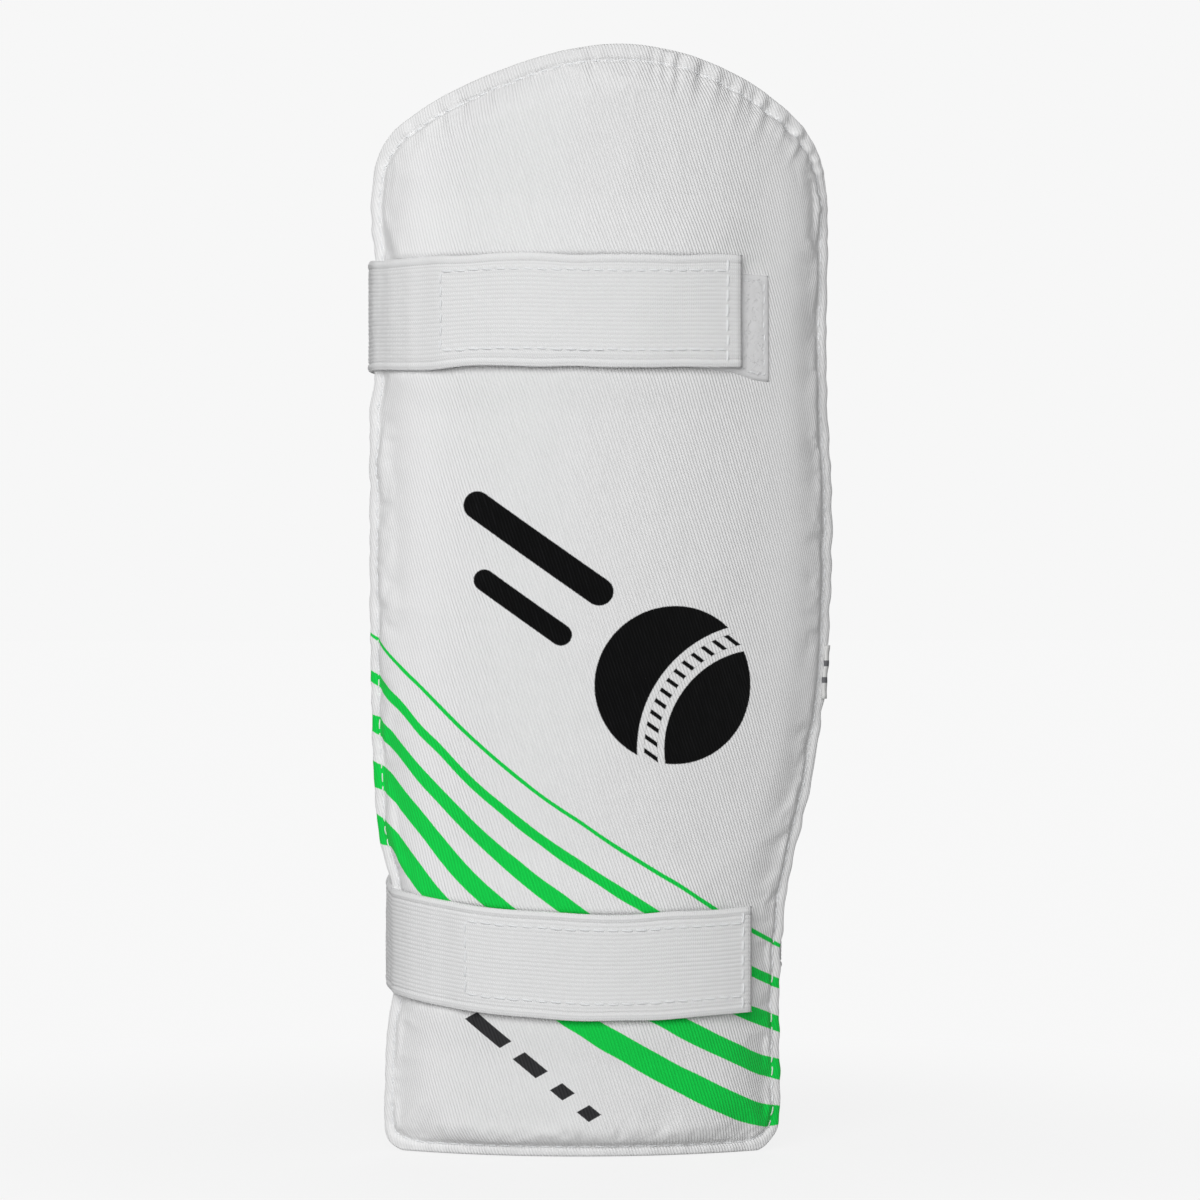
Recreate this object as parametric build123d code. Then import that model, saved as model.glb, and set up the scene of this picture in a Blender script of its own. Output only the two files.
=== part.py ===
from build123d import *
from dataclasses import dataclass
import math
import os

# Cricket forearm guard: a curved two-foam pad in a sewn cover, with two
# elastic straps that close on the front with hook-and-loop.
# Work frame: the arm axis is Z, elbow end up. The pad's front faces -Y and
# its left edge, seen from the front, is at -X. All layers of the pad are arcs
# about the arm axis. Lengths in millimetres, angles in degrees from -Y toward +X.

# ---- pad: radii are (inner, outer) ----
HEIGHT = 295.0             # wrist end to elbow end
OUTLINE_R = 92.0           # radius at which the outline is laid out
LINING_R = (80.0, 81.0)    # towelling against the arm
INNER_FOAM_R = (81.2, 86.0)
OUTER_FOAM_R = (86.2, 94.0)
COVER_R = (94.2, 95.2)     # raised panel of the front cover
SHOULDER_R = 93.4          # outer face of the cover's lower shoulder
BACK_HEM_R = (89.5, 90.5)  # lining's share of the sewn hem
FRONT_HEM_R = (90.6, 91.6)  # cover's share of the sewn hem
CLOTH_T = 1.0
FOAM_GAP = 0.2             # clearance between cloth and foam
HEM = 3.4                  # width of the flat sewn hem
SHOULDER = 8.0             # inset of the raised front panel
SEAM_INSET = 2.7           # hem stitching, from the outer edge
THREAD = 0.6               # width of a thread line
THREAD_T = 0.3             # how deep a thread line sits in the cloth

LABEL_ARC = 66.8           # pad edge at the label, as arc length to the right
LABEL_X = (-2.4, 1.0)      # label's sides, from that edge
LABEL_Z = (120.7, 135.6)
LABEL_R = (FRONT_HEM_R[1] + 0.1, FRONT_HEM_R[1] + 0.8)

# ---- outline sampling ----
CONTOUR_STEP = 1.0
CORNER_STEP = 1.2          # run from an inset outline to its bottom corners
FLAT_TURN = 0.12           # most turning in one flat of the outline, radians
FLAT_RUN = 20.0            # longest flat of the outline

# ---- cutting prisms, as (rear-to-front) spans along Y, and shell overshoot ----
PLATE_Y = (-130.0, 10.0)
COLUMN_Y = (-130.0, 0.0)
CUTTER_Y = (-140.0, 10.0)
END_MARGIN = 5.0           # shells run this far past both ends of the pad

# ---- straps ----
STRAP_T = 1.5              # elastic thickness
HALF_T = STRAP_T / 2
STRAP_R = 97.5             # inner face of the strap over the closure
STRAP_OUTER_R = STRAP_R + STRAP_T
ANCHOR_R = LINING_R[0] - 0.15 - HALF_T  # centre line of the sewn-down end
UPPER_EDGE_X = -60.35      # inner face of each strap beside the left edge
LOOP_R = (95.25, 96.25)    # loop patch sewn on the front
HOOK_R = (96.4, 97.4)      # hook patch sewn under the strap end
END_FOLD = 2.2             # folded hem at the strap end, degrees
LINE_STEP = 0.25           # spacing of centre line samples
GAP_SAMPLES = 1            # gap where a strap is divided into links
KNOT_RUN = 4.5             # strap length between spline points
ARC_STEP = 4.0             # degrees between centre line points on an arc
STRIP_X = (-70.0, 70.0)
STRIP_STEPS = 28
PATCH_STEPS = 14

HOOK_INSET = 2.0           # hook patch, from the strap's long edges
HOOK_ENDS = (0.6, 0.3)     # degrees past the stitch box, degrees short of the fold
BOX_INSET = 3.2            # stitch box, from the strap's long edges
BAR_INSET = 0.6            # cross bar of the stitch box, likewise
STITCH_PROUD = 0.25        # height of strap stitching above the elastic
ANCHOR_INSET = 2.5         # anchor stitching, from the strap's long edges
ANCHOR_START = 1.2         # degrees from the strap's start
ANCHOR_SPAN = 9.0          # degrees
ANCHOR_THREAD_DEG = 0.5
ANCHOR_X = 40.0            # where the strap's height is taken for the anchor
LOOP_SEW_INSET = 1.6       # border stitching of the loop patch
THREAD_DEG = math.degrees(THREAD / STRAP_OUTER_R)

NOTCH_CLEARANCE = 0.25     # from a strap's inner face to the squeezed pad edge
NOTCH_SIZE = (20.0, 60.0)  # X, Y
NOTCH_Y = -70.0

# Shift that puts the origin at the bottom centre of the whole object
ORIGIN = (0.644, -56.251)

# Pad outline: height, arc length to the left edge, arc length to the right edge
OUTLINE = [
    (0.0, -53.7, 41.0), (1.0, -58.2, 44.6), (2.6, -60.9, 47.0),
    (5.5, -62.2, 49.3), (10.0, -62.4, 50.4), (22.0, -62.0, 50.3),
    (40.0, -61.4, 50.1), (55.0, -61.2, 50.8), (70.0, -62.0, 52.9),
    (80.0, -63.6, 55.5), (90.0, -65.0, 58.9), (100.0, -66.0, 61.9),
    (112.0, -66.5, 64.6), (125.0, -66.9, 67.0), (145.0, -67.3, 68.9),
    (165.0, -67.4, 69.8), (182.0, -67.4, 69.3), (200.0, -67.5, 67.8),
    (220.0, -67.5, 67.4), (240.0, -67.4, 67.9), (252.0, -67.0, 67.9),
    (261.0, -66.2, 67.0), (267.0, -64.6, 65.0), (272.0, -60.9, 61.8),
    (276.5, -54.5, 57.0), (281.0, -46.0, 50.3), (285.0, -36.8, 42.8),
    (288.5, -27.5, 35.3), (291.3, -19.5, 28.3), (293.4, -12.0, 21.3),
    (294.6, -5.0, 14.3),
]
PEAK_ARC = 4.7             # arc length to the topmost point


def arc_to_x(arc):
    """X of a point this arc length round the outline radius."""
    return OUTLINE_R * math.sin(arc / OUTLINE_R)


def on_arc(radius, degrees):
    angle = math.radians(degrees)
    return (radius * math.sin(angle), -radius * math.cos(angle))


@dataclass
class Strap:
    width: float
    front_mid: list     # centre height across the front: X, Z
    back_mid: list      # centre height behind the arm: X, Z
    edge_x: float       # inner face beside the pad's left edge
    edge_turn: list     # centre line round that edge: X from edge_x, Y
    rear_y: float       # rear of the strap behind the arm
    anchor: float       # angle where the sewn-down end starts
    swing: float        # angle where the strap turns over the left edge
    peel: float         # angle where the tip link starts
    box: tuple          # start and end angles of the stitch box
    end: float          # angle of the free end
    loop_span: tuple    # start and end angles of the loop patch
    loop_z: tuple       # bottom and top of the loop patch
    notch_z: float      # centre height of the notch in the pad edge
    notch_margin: float  # notch past each long edge of the strap


def level(z):
    """Height table of a straight horizontal line."""
    return [(0.0, z)]


UPPER_Z = 224.2
LOWER_EDGE_X = arc_to_x(-61.3) + 1.25

STRAPS = {
    "upper": Strap(
        width=29.8, front_mid=level(UPPER_Z), back_mid=level(UPPER_Z),
        edge_x=UPPER_EDGE_X,
        edge_turn=[(-0.70, -69.0), (0.15, -73.2), (2.75, -77.9), (6.95, -82.2)],
        rear_y=-14.0, anchor=26.0, swing=-39.4, peel=-27.3, box=(-26.0, 19.2), end=22.0,
        loop_span=(-24.0, 27.8), loop_z=(207.0, 234.5), notch_z=UPPER_Z, notch_margin=1.0),
    "lower": Strap(
        width=28.2,
        front_mid=[(-64.0, 57.9), (-60.0, 57.1), (-46.0, 54.4), (-28.0, 52.0), (-8.0, 50.8),
                   (10.0, 50.7), (26.0, 51.4), (42.0, 52.5), (64.0, 54.0)],
        back_mid=[(-64.0, 57.9), (-50.0, 59.4), (-25.0, 60.6), (0.0, 61.0), (25.0, 60.6),
                  (50.0, 59.6), (64.0, 59.0)],
        edge_x=LOWER_EDGE_X,
        edge_turn=[(-0.72, -72.0), (-0.05, -76.6), (3.65, -82.0), (9.05, -86.4)],
        rear_y=-25.0, anchor=16.0, swing=-36.0, peel=-23.3, box=(-22.0, 21.7), end=23.7,
        loop_span=(-19.0, 22.6), loop_z=(39.5, 64.5), notch_z=57.3, notch_margin=1.5),
}


# ---- curves ----
def beyond(end, before):
    """Mirror of the point before an end of a line, past that end."""
    return tuple(2 * a - b for a, b in zip(end, before))


def smooth(points, step):
    """Evenly spaced points on a Catmull-Rom curve through an open list."""
    padded = [beyond(points[0], points[1])] + points + [beyond(points[-1], points[-2])]
    dense = []
    for knots in zip(padded, padded[1:], padded[2:], padded[3:]):
        for k in range(24):
            t = k / 24.0
            dense.append(tuple(
                0.5 * (2 * b + (c - a) * t + (2 * a - 5 * b + 4 * c - d) * t * t
                       + (3 * b - a - 3 * c + d) * t ** 3)
                for a, b, c, d in zip(*knots)))
    dense.append(points[-1])
    even, left, last = [dense[0]], step, dense[0]
    for point in dense[1:]:
        gap = math.dist(last, point)
        while gap >= left and gap > 1e-9:
            part = left / gap
            last = tuple(a + (b - a) * part for a, b in zip(last, point))
            even.append(last)
            gap = math.dist(last, point)
            left = step
        left -= gap
        last = point
    if math.dist(even[-1], dense[-1]) < step * 0.4:
        even.pop()
    even.append(dense[-1])
    return even


def normal(line, i):
    """Unit normal to the right of travel at sample i."""
    start, end = line[max(i - 1, 0)], line[min(i + 1, len(line) - 1)]
    dx, dy = end[0] - start[0], end[1] - start[1]
    length = math.hypot(dx, dy)
    return dy / length, -dx / length


def distance_to(point, line):
    best = 1e9
    for (ax, ay), (bx, by) in zip(line, line[1:]):
        dx, dy = bx - ax, by - ay
        t = ((point[0] - ax) * dx + (point[1] - ay) * dy) / (dx * dx + dy * dy)
        t = max(0.0, min(1.0, t))
        best = min(best, math.hypot(point[0] - ax - t * dx, point[1] - ay - t * dy))
    return best


def height_at(rows, x):
    """Linear interpolation in a table of X, Z, held level past its ends."""
    if x <= rows[0][0]:
        return rows[0][1]
    for (x0, z0), (x1, z1) in zip(rows, rows[1:]):
        if x <= x1:
            return z0 + (z1 - z0) * (x - x0) / (x1 - x0)
    return rows[-1][1]


# Front view of the outline, up the left edge and down the right
CONTOUR = smooth([(arc_to_x(left), z) for z, left, _ in OUTLINE]
                 + [(arc_to_x(PEAK_ARC), HEIGHT)]
                 + [(arc_to_x(right), z) for z, _, right in reversed(OUTLINE)],
                 CONTOUR_STEP)


def inset(distance):
    """Contour moved inward, with its bottom edge raised by the same distance."""
    if distance == 0:
        return CONTOUR
    moved = []
    for i, (x, z) in enumerate(CONTOUR):
        nx, nz = normal(CONTOUR, i)
        point = (x + distance * nx, z + distance * nz)
        if (point[1] > distance + CORNER_STEP
                and distance_to(point, CONTOUR) > distance - 0.02):
            moved.append(point)
    return ([(moved[0][0] + CORNER_STEP, distance)] + moved
            + [(moved[-1][0] - CORNER_STEP, distance)])


# ---- basic solids ----
def prism(points, y_span):
    """Prism along Y over a closed front-view polygon."""
    y0, y1 = y_span
    face = make_face(Polyline(*points, close=True))
    solid = extrude(Plane.XZ * face, amount=(y1 - y0) / 2, both=True)
    return Pos(0, (y0 + y1) / 2, 0) * solid


def column(points):
    return prism(points, COLUMN_Y)


def plate(distance, y_span=PLATE_Y):
    """Prism over the inset outline, its curves thinned to short flats."""
    points = inset(distance)
    keep, turn, run = [points[0]], 0.0, 0.0
    for before, here, after in zip(points, points[1:], points[2:]):
        heading_in = math.atan2(here[1] - before[1], here[0] - before[0])
        heading_out = math.atan2(after[1] - here[1], after[0] - here[0])
        turn += abs((heading_out - heading_in + math.pi) % (2 * math.pi) - math.pi)
        run += math.dist(before, here)
        if turn > FLAT_TURN or run > FLAT_RUN or here[1] > HEIGHT - distance - 0.02:
            keep.append(here)
            turn, run = 0.0, 0.0
    keep.append(points[-1])
    return prism(keep, y_span)


def shell(inner_r, outer_r):
    """Front half of a tube wall about the arm axis."""
    height = HEIGHT + 2 * END_MARGIN
    tube = Cylinder(outer_r, height) - Cylinder(inner_r, height + 2)
    front = Pos(0, -75, 0) * Box(220, 150, height + 4)
    return Pos(0, 0, HEIGHT / 2) * (tube & front)


def strip_outline(xs, mid, half_width):
    """Polygon a half width either side of a centre height table."""
    return ([(x, height_at(mid, x) - half_width) for x in xs]
            + [(x, height_at(mid, x) + half_width) for x in reversed(xs)])


def strip(mid, width):
    x0, x1 = STRIP_X
    xs = [x0 + (x1 - x0) * k / STRIP_STEPS for k in range(STRIP_STEPS + 1)]
    return column(strip_outline(xs, mid, width / 2))


def patch_outline(radius, start, end, mid, half_width):
    """Front view of a patch between two angles on a radius."""
    xs = [on_arc(radius, start + (end - start) * k / PATCH_STEPS)[0]
          for k in range(PATCH_STEPS + 1)]
    return strip_outline(xs, mid, half_width)


def thread_frame(radius, start, end, mid, half_width, thread_deg=THREAD_DEG):
    """Closed stitch line, one thread wide, as a prism along Y."""
    outer = patch_outline(radius, start, end, mid, half_width)
    inner = patch_outline(radius, start + thread_deg, end - thread_deg, mid,
                          half_width - THREAD)
    return column(outer) - prism(inner, CUTTER_Y)


# ---- straps ----
def centre_line(strap):
    """Plan of the strap: anchor, round the back, left edge, across the front."""
    centre_x = strap.edge_x - HALF_T
    # the part behind the arm scales with the pad's width at the strap
    scale = centre_x / (UPPER_EDGE_X - HALF_T)
    rear = strap.rear_y
    points = [on_arc(ANCHOR_R, strap.anchor + k * ARC_STEP) for k in range(4)]
    anchor_x, anchor_y = points[-1]
    points += [
        (anchor_x + 4.2, anchor_y + 5.2), (57.0 * scale - 1.0, -44.0),
        (51.0 * scale, rear - 16.0), (31.0 * scale, rear - 4.0), (0.0, rear),
        (-31.0 * scale, rear - 4.0), (-51.0 * scale, rear - 16.0),
        (centre_x + 2.0, -45.0), (centre_x + 0.12, -54.0), (centre_x, -62.0),
    ]
    points += [(strap.edge_x + dx, y) for dx, y in strap.edge_turn]
    angle = strap.peel - ARC_STEP
    while angle < strap.end - 2.0:
        points.append(on_arc(STRAP_R + HALF_T, angle))
        angle += ARC_STEP
    points.append(on_arc(STRAP_R + HALF_T, strap.end))
    return smooth(points, LINE_STEP)


def front_index(line, degrees):
    """First sample on the front run that has reached this angle."""
    for i, (x, y) in enumerate(line):
        if y < -60 and i > len(line) * 0.4 and math.degrees(math.atan2(x, -y)) >= degrees:
            return i
    return len(line) - 1


def elastic(line, first, last):
    """Full-height wall of elastic between two samples of its centre line."""
    count = max(2, int(round((last - first) * LINE_STEP / KNOT_RUN)))
    inner, outer = [], []
    for k in range(count + 1):
        i = first + round((last - first) * k / count)
        nx, ny = normal(line, i)
        x, y = line[i]
        inner.append((x - nx * HALF_T, y - ny * HALF_T))
        outer.append((x + nx * HALF_T, y + ny * HALF_T))
    side_in, side_out = Spline(*inner), Spline(*outer)
    face = make_face(side_in + side_out + Line(side_in @ 0, side_out @ 0)
                     + Line(side_in @ 1, side_out @ 1))
    return Pos(0, 0, -END_MARGIN) * extrude(face, amount=HEIGHT + END_MARGIN)


def strap_links(strap):
    """Back, front and tip links, the tip with its free end folded under."""
    line = centre_line(strap)
    swing = front_index(line, strap.swing)
    split = front_index(line, strap.peel)
    front = strip(strap.front_mid, strap.width)
    rear = strip(strap.back_mid, strap.width)
    back_link = elastic(line, 0, swing - GAP_SAMPLES) & rear
    front_link = elastic(line, swing, split - GAP_SAMPLES) & front
    tip = elastic(line, split, len(line) - 1) & front
    fold = shell(HOOK_R[0], STRAP_R + 0.1) & column(patch_outline(
        STRAP_R, strap.end - END_FOLD, strap.end, strap.front_mid, strap.width / 2))
    return back_link, front_link, tip + (fold & front)


def hook_patch(strap):
    return shell(*HOOK_R) & column(patch_outline(
        HOOK_R[1], strap.box[0] - HOOK_ENDS[0], strap.end - END_FOLD - HOOK_ENDS[1],
        strap.front_mid, strap.width / 2 - HOOK_INSET))


def box_stitch(strap):
    """Stitched box on the tip, with a longer bar across its right end."""
    start, end = strap.box
    half = strap.width / 2
    ring = thread_frame(STRAP_OUTER_R, start, end, strap.front_mid, half - BOX_INSET)
    bar = column(patch_outline(STRAP_OUTER_R, end - THREAD_DEG, end, strap.front_mid,
                               half - BAR_INSET))
    sunk = shell(STRAP_OUTER_R - THREAD_T, STRAP_OUTER_R + STITCH_PROUD)
    return (ring & sunk) + (bar & sunk)


def anchor_stitch(strap):
    """Stitching on the arm side of the sewn-down strap end."""
    radius = ANCHOR_R - HALF_T
    start = strap.anchor + ANCHOR_START
    frame = thread_frame(radius, start, start + ANCHOR_SPAN,
                         level(height_at(strap.back_mid, ANCHOR_X)),
                         strap.width / 2 - ANCHOR_INSET, ANCHOR_THREAD_DEG)
    return frame & shell(radius - STITCH_PROUD, radius + THREAD_T)


def loop_patch(strap):
    """Loop patch on the front cover, and its border stitching."""
    radius = LOOP_R[1]
    start, end = strap.loop_span
    z0, z1 = strap.loop_z
    mid, half = level((z0 + z1) / 2), (z1 - z0) / 2
    patch = shell(*LOOP_R) & column(patch_outline(radius, start, end, mid, half))
    inset_deg = math.degrees(LOOP_SEW_INSET / radius)
    sewing = thread_frame(radius, start + inset_deg, end - inset_deg, mid,
                          half - LOOP_SEW_INSET) & shell(radius - THREAD_T, radius)
    return patch - sewing, sewing


def strap_parts(strap):
    back_link, front_link, tip = strap_links(strap)
    box, anchor = box_stitch(strap), anchor_stitch(strap)
    patch, sewing = loop_patch(strap)
    return dict(strap_back=back_link - anchor, strap_front=front_link, strap_tip=tip - box,
                hook_patch=hook_patch(strap), box_stitch=box, anchor_stitch=anchor,
                loop_patch=patch, loop_stitch=sewing)


# ---- pad ----
# Prisms shared by the layers: outer edge, inside the hem, raised panel,
# then the room inside the cloth and the foam that fills it
full, hemmed, raised = plate(0), plate(HEM), plate(SHOULDER)
hem_room, raised_room = plate(HEM + CLOTH_T), plate(SHOULDER + CLOTH_T)
foam_plate = plate(HEM + CLOTH_T + FOAM_GAP)
raised_foam_plate = plate(SHOULDER + CLOTH_T + FOAM_GAP)


def squeeze(solid):
    """Notch the left edge of the hem where each strap squeezes it in."""
    for strap in STRAPS.values():
        size_x, size_y = NOTCH_SIZE
        x = strap.edge_x + NOTCH_CLEARANCE - size_x / 2
        height = strap.width + 2 * strap.notch_margin
        solid = solid - Pos(x, NOTCH_Y, strap.notch_z) * Box(size_x, size_y, height)
    return solid


def perimeter_stitch():
    ring = plate(SEAM_INSET) - plate(SEAM_INSET + THREAD, CUTTER_Y)
    return squeeze(ring & shell(FRONT_HEM_R[1] - THREAD_T, FRONT_HEM_R[1]))


def front_cover(seam):
    """Flat hem, shoulder and raised panel, hollowed from behind."""
    back_r = FRONT_HEM_R[0]
    cover = ((full & shell(*FRONT_HEM_R)) + (hemmed & shell(back_r, SHOULDER_R))
             + (raised & shell(back_r, COVER_R[1])))
    cover = (cover - (hem_room & shell(back_r - 1, SHOULDER_R - CLOTH_T))
             - (raised_room & shell(back_r - 1, COVER_R[0])))
    return squeeze(cover) - seam


def back_lining():
    """Flat hem and a tray toward the arm, hollowed from the front."""
    lining = (full & shell(*BACK_HEM_R)) + (hemmed & shell(LINING_R[0], BACK_HEM_R[1]))
    lining = lining - (hem_room & shell(LINING_R[1], BACK_HEM_R[1] + 1))
    return squeeze(lining)


def outer_foam():
    return ((foam_plate & shell(OUTER_FOAM_R[0], SHOULDER_R - CLOTH_T - FOAM_GAP))
            + (raised_foam_plate & shell(*OUTER_FOAM_R)))


def inner_foam():
    return foam_plate & shell(*INNER_FOAM_R)


def side_label():
    """Blank label on the right-hand hem, reaching just past its edge."""
    x0, x1 = (arc_to_x(LABEL_ARC) + dx for dx in LABEL_X)
    z0, z1 = LABEL_Z
    return shell(*LABEL_R) & column([(x0, z0), (x1, z0), (x1, z1), (x0, z1)])


# ---- build and export ----
seam = perimeter_stitch()
parts = dict(front_cover=front_cover(seam), outer_foam=outer_foam(),
             inner_foam=inner_foam(), back_lining=back_lining(),
             perimeter_stitch=seam, side_label=side_label())
for side, strap in STRAPS.items():
    for name, solid in strap_parts(strap).items():
        parts[f"{side}_{name}"] = solid

os.makedirs("parts", exist_ok=True)
for name, solid in parts.items():
    solids = (Pos(-ORIGIN[0], -ORIGIN[1], 0) * solid).solids()
    body = solids[0] if len(solids) == 1 else Compound(children=list(solids))
    export_step(body, f"parts/{name}.step")
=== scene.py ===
import math

import bpy
import numpy as np
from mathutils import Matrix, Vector
from mathutils.bvhtree import BVHTree
from mathutils.kdtree import KDTree


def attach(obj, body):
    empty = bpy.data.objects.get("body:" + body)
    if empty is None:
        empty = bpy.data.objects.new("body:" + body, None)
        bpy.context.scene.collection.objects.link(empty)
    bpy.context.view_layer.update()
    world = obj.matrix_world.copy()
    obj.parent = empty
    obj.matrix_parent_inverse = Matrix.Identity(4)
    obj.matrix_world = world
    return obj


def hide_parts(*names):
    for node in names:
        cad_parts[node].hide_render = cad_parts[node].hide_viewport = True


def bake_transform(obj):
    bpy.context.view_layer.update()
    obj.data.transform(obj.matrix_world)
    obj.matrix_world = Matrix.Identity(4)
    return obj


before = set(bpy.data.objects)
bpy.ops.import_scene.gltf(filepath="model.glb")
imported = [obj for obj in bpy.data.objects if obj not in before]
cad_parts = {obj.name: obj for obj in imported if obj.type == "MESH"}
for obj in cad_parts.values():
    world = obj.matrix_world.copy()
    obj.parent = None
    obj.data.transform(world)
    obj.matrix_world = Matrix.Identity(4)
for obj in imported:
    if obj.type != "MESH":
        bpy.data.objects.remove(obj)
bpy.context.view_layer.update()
rng = np.random.default_rng(11)

# ---------------------------------------------------------------- frame numbers (millimetres, arm axis at 0, 0)
OX, OY = 0.644, -56.251
HEIGHT, RREF = 295.0, 92.0
OUTLINE = np.array([
    (0.0, -53.7, 41.0), (1.0, -58.2, 44.6), (2.6, -60.9, 47.0),
    (5.5, -62.2, 49.3), (10.0, -62.4, 50.4), (22.0, -62.0, 50.3),
    (40.0, -61.4, 50.1), (55.0, -61.2, 50.8), (70.0, -62.0, 52.9),
    (80.0, -63.6, 55.5), (90.0, -65.0, 58.9), (100.0, -66.0, 61.9),
    (112.0, -66.5, 64.6), (125.0, -66.9, 67.0), (145.0, -67.3, 68.9),
    (165.0, -67.4, 69.8), (182.0, -67.4, 69.3), (200.0, -67.5, 67.8),
    (220.0, -67.5, 67.4), (240.0, -67.4, 67.9), (252.0, -67.0, 67.9),
    (261.0, -66.2, 67.0), (267.0, -64.6, 65.0), (272.0, -60.9, 61.8),
    (276.5, -54.5, 57.0), (281.0, -46.0, 50.3), (285.0, -36.8, 42.8),
    (288.5, -27.5, 35.3), (291.3, -19.5, 28.3), (293.4, -12.0, 21.3),
    (294.6, -5.0, 14.3), (294.98, 0.5, 9.0)])
UP_Z = (209.3, 239.1)
LO_W = 28.2
UP_PEEL, UP_BOX_L, UP_BOX_R, UP_END = -27.3, -26.0, 19.2, 22.0
LO_PEEL, LO_BOX_L, LO_BOX_R, LO_END = -23.3, -22.0, 21.7, 23.7
UP_LOOP = (-24.0, 27.8, 207.0, 234.5)
LO_LOOP = (-19.0, 22.6, 39.5, 64.5)
STRAP_T, STRAP_R = 1.5, 97.5
HALF = STRAP_T / 2


def row(p):
    q = np.array(p, float).reshape(-1, 3).copy()
    q[:, 0] -= OX
    q[:, 1] -= OY
    return q / 1000.0


def smoothstep(a, b, x):
    t = np.clip((np.asarray(x, float) - a) / (b - a), 0, 1)
    return t * t * (3 - 2 * t)


def catmull(points, sub=16):
    p = np.array(points, float)
    p = np.vstack([2 * p[0] - p[1], p, 2 * p[-1] - p[-2]])
    t = (np.arange(sub) / sub)[:, None]
    out = []
    for i in range(1, len(p) - 2):
        a, b, c, d = p[i - 1], p[i], p[i + 1], p[i + 2]
        out.append(0.5 * (2 * b + (c - a) * t + (2 * a - 5 * b + 4 * c - d) * t ** 2 + (3 * b - a - 3 * c + d) * t ** 3))
    out.append(p[-2][None])
    return np.vstack(out)


def even(points, step):
    p = np.array(points, float)
    seg = np.linalg.norm(np.diff(p, axis=0), axis=1)
    s = np.concatenate([[0], np.cumsum(seg)])
    n = max(2, int(round(s[-1] / step)) + 1)
    t = np.linspace(0, s[-1], n)
    return np.column_stack([np.interp(t, s, p[:, k]) for k in range(p.shape[1])])


class Noise1:
    # smooth, seeded noise of one variable with wavelengths near the given one
    def __init__(self, wave, seed, n=9):
        g = np.random.default_rng(seed)
        self.k = 2 * math.pi / (wave * g.uniform(0.65, 1.6, n))
        self.p = g.uniform(0, 2 * math.pi, n)
        self.n = n

    def __call__(self, x):
        x = np.asarray(x, float)[..., None]
        return np.sin(x * self.k + self.p).sum(-1) / math.sqrt(self.n / 2) / 1.6


class Noise2:
    def __init__(self, wave, seed, n=22, squash=1.0, turn=0.0):
        g = np.random.default_rng(seed)
        a = g.uniform(0, 2 * math.pi, n)
        k = 2 * math.pi / (wave * g.uniform(0.6, 1.7, n))
        kx, ky = np.cos(a) * k, np.sin(a) * k * squash
        self.kx = kx * math.cos(turn) - ky * math.sin(turn)
        self.ky = kx * math.sin(turn) + ky * math.cos(turn)
        self.p = g.uniform(0, 2 * math.pi, n)
        self.n = n

    def __call__(self, x, y):
        x, y = np.asarray(x, float)[..., None], np.asarray(y, float)[..., None]
        return np.sin(x * self.kx + y * self.ky + self.p).sum(-1) / math.sqrt(self.n / 2) / 1.6


def mesh(name, verts, faces, mm=None, smooth=True, material=None, attrs=None):
    me = bpy.data.meshes.new(name)
    me.from_pydata([tuple(v) for v in verts], [], [tuple(int(i) for i in f) for f in faces])
    me.update()
    if mm is not None:
        a = me.attributes.new("mm", "FLOAT_VECTOR", "POINT")
        m3 = np.zeros((len(verts), 3), np.float32)
        m3[:, :2] = np.asarray(mm)[:, :2]
        a.data.foreach_set("vector", m3.ravel())
    for k, vals in (attrs or {}).items():
        a = me.attributes.new(k, "FLOAT", "POINT")
        a.data.foreach_set("value", np.asarray(vals, np.float32))
    if smooth:
        me.polygons.foreach_set("use_smooth", [True] * len(me.polygons))
    if material:
        me.materials.append(material)
    o = bpy.data.objects.new(name, me)
    bpy.context.scene.collection.objects.link(o)
    return o


# ---------------------------------------------------------------- outline
left_c = catmull(np.column_stack([OUTLINE[:, 1], OUTLINE[:, 0]]))
right_c = catmull(np.column_stack([OUTLINE[:, 2], OUTLINE[:, 0]]))
left_c[:, 1] = np.maximum.accumulate(np.clip(left_c[:, 1], 0, HEIGHT))
right_c[:, 1] = np.maximum.accumulate(np.clip(right_c[:, 1], 0, HEIGHT))
TOPZ = float(left_c[-1, 1])
hem_wave = Noise1(13, 5)
hem_wave2 = Noise1(5.5, 6)
LO_EDGE = RREF * math.sin(-61.3 / RREF) + 1.25


def fit_arc(s):
    # the outline is laid out at the reference radius; the hem's edge lies a little nearer the arm
    out = []
    for v in np.atleast_1d(s):
        t0 = v / RREF + math.radians(4)
        want = (RREF * math.sin(t0) - 5.13) / (1270 - RREF * math.cos(t0))
        t = t0
        for _ in range(30):
            f = (90.55 * math.sin(t) - 5.13) / (1270 - 90.55 * math.cos(t)) - want
            t -= f / (90.55 * math.cos(t) / 1180.0)
        out.append(RREF * (t - math.radians(4)))
    return np.array(out)


left_c[:, 0] = fit_arc(left_c[:, 0])
right_c[:, 0] = fit_arc(right_c[:, 0])


def squeeze(z, z0, z1, by):
    return by * smoothstep(z0 - 13.0, z0 + 0.5, z) * (1 - smoothstep(z1 - 0.5, z1 + 13.0, z))


def s_left(z):
    z = np.asarray(z, float)
    s = np.interp(z, left_c[:, 1], left_c[:, 0])
    s = s + squeeze(z, UP_Z[0], UP_Z[1], 2.0) + squeeze(z, 43.0, 71.6, 2.1)
    return s + (0.22 * hem_wave(z) + 0.10 * hem_wave2(z)) * smoothstep(2, 12, z) * (1 - smoothstep(283, 293, z))


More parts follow.
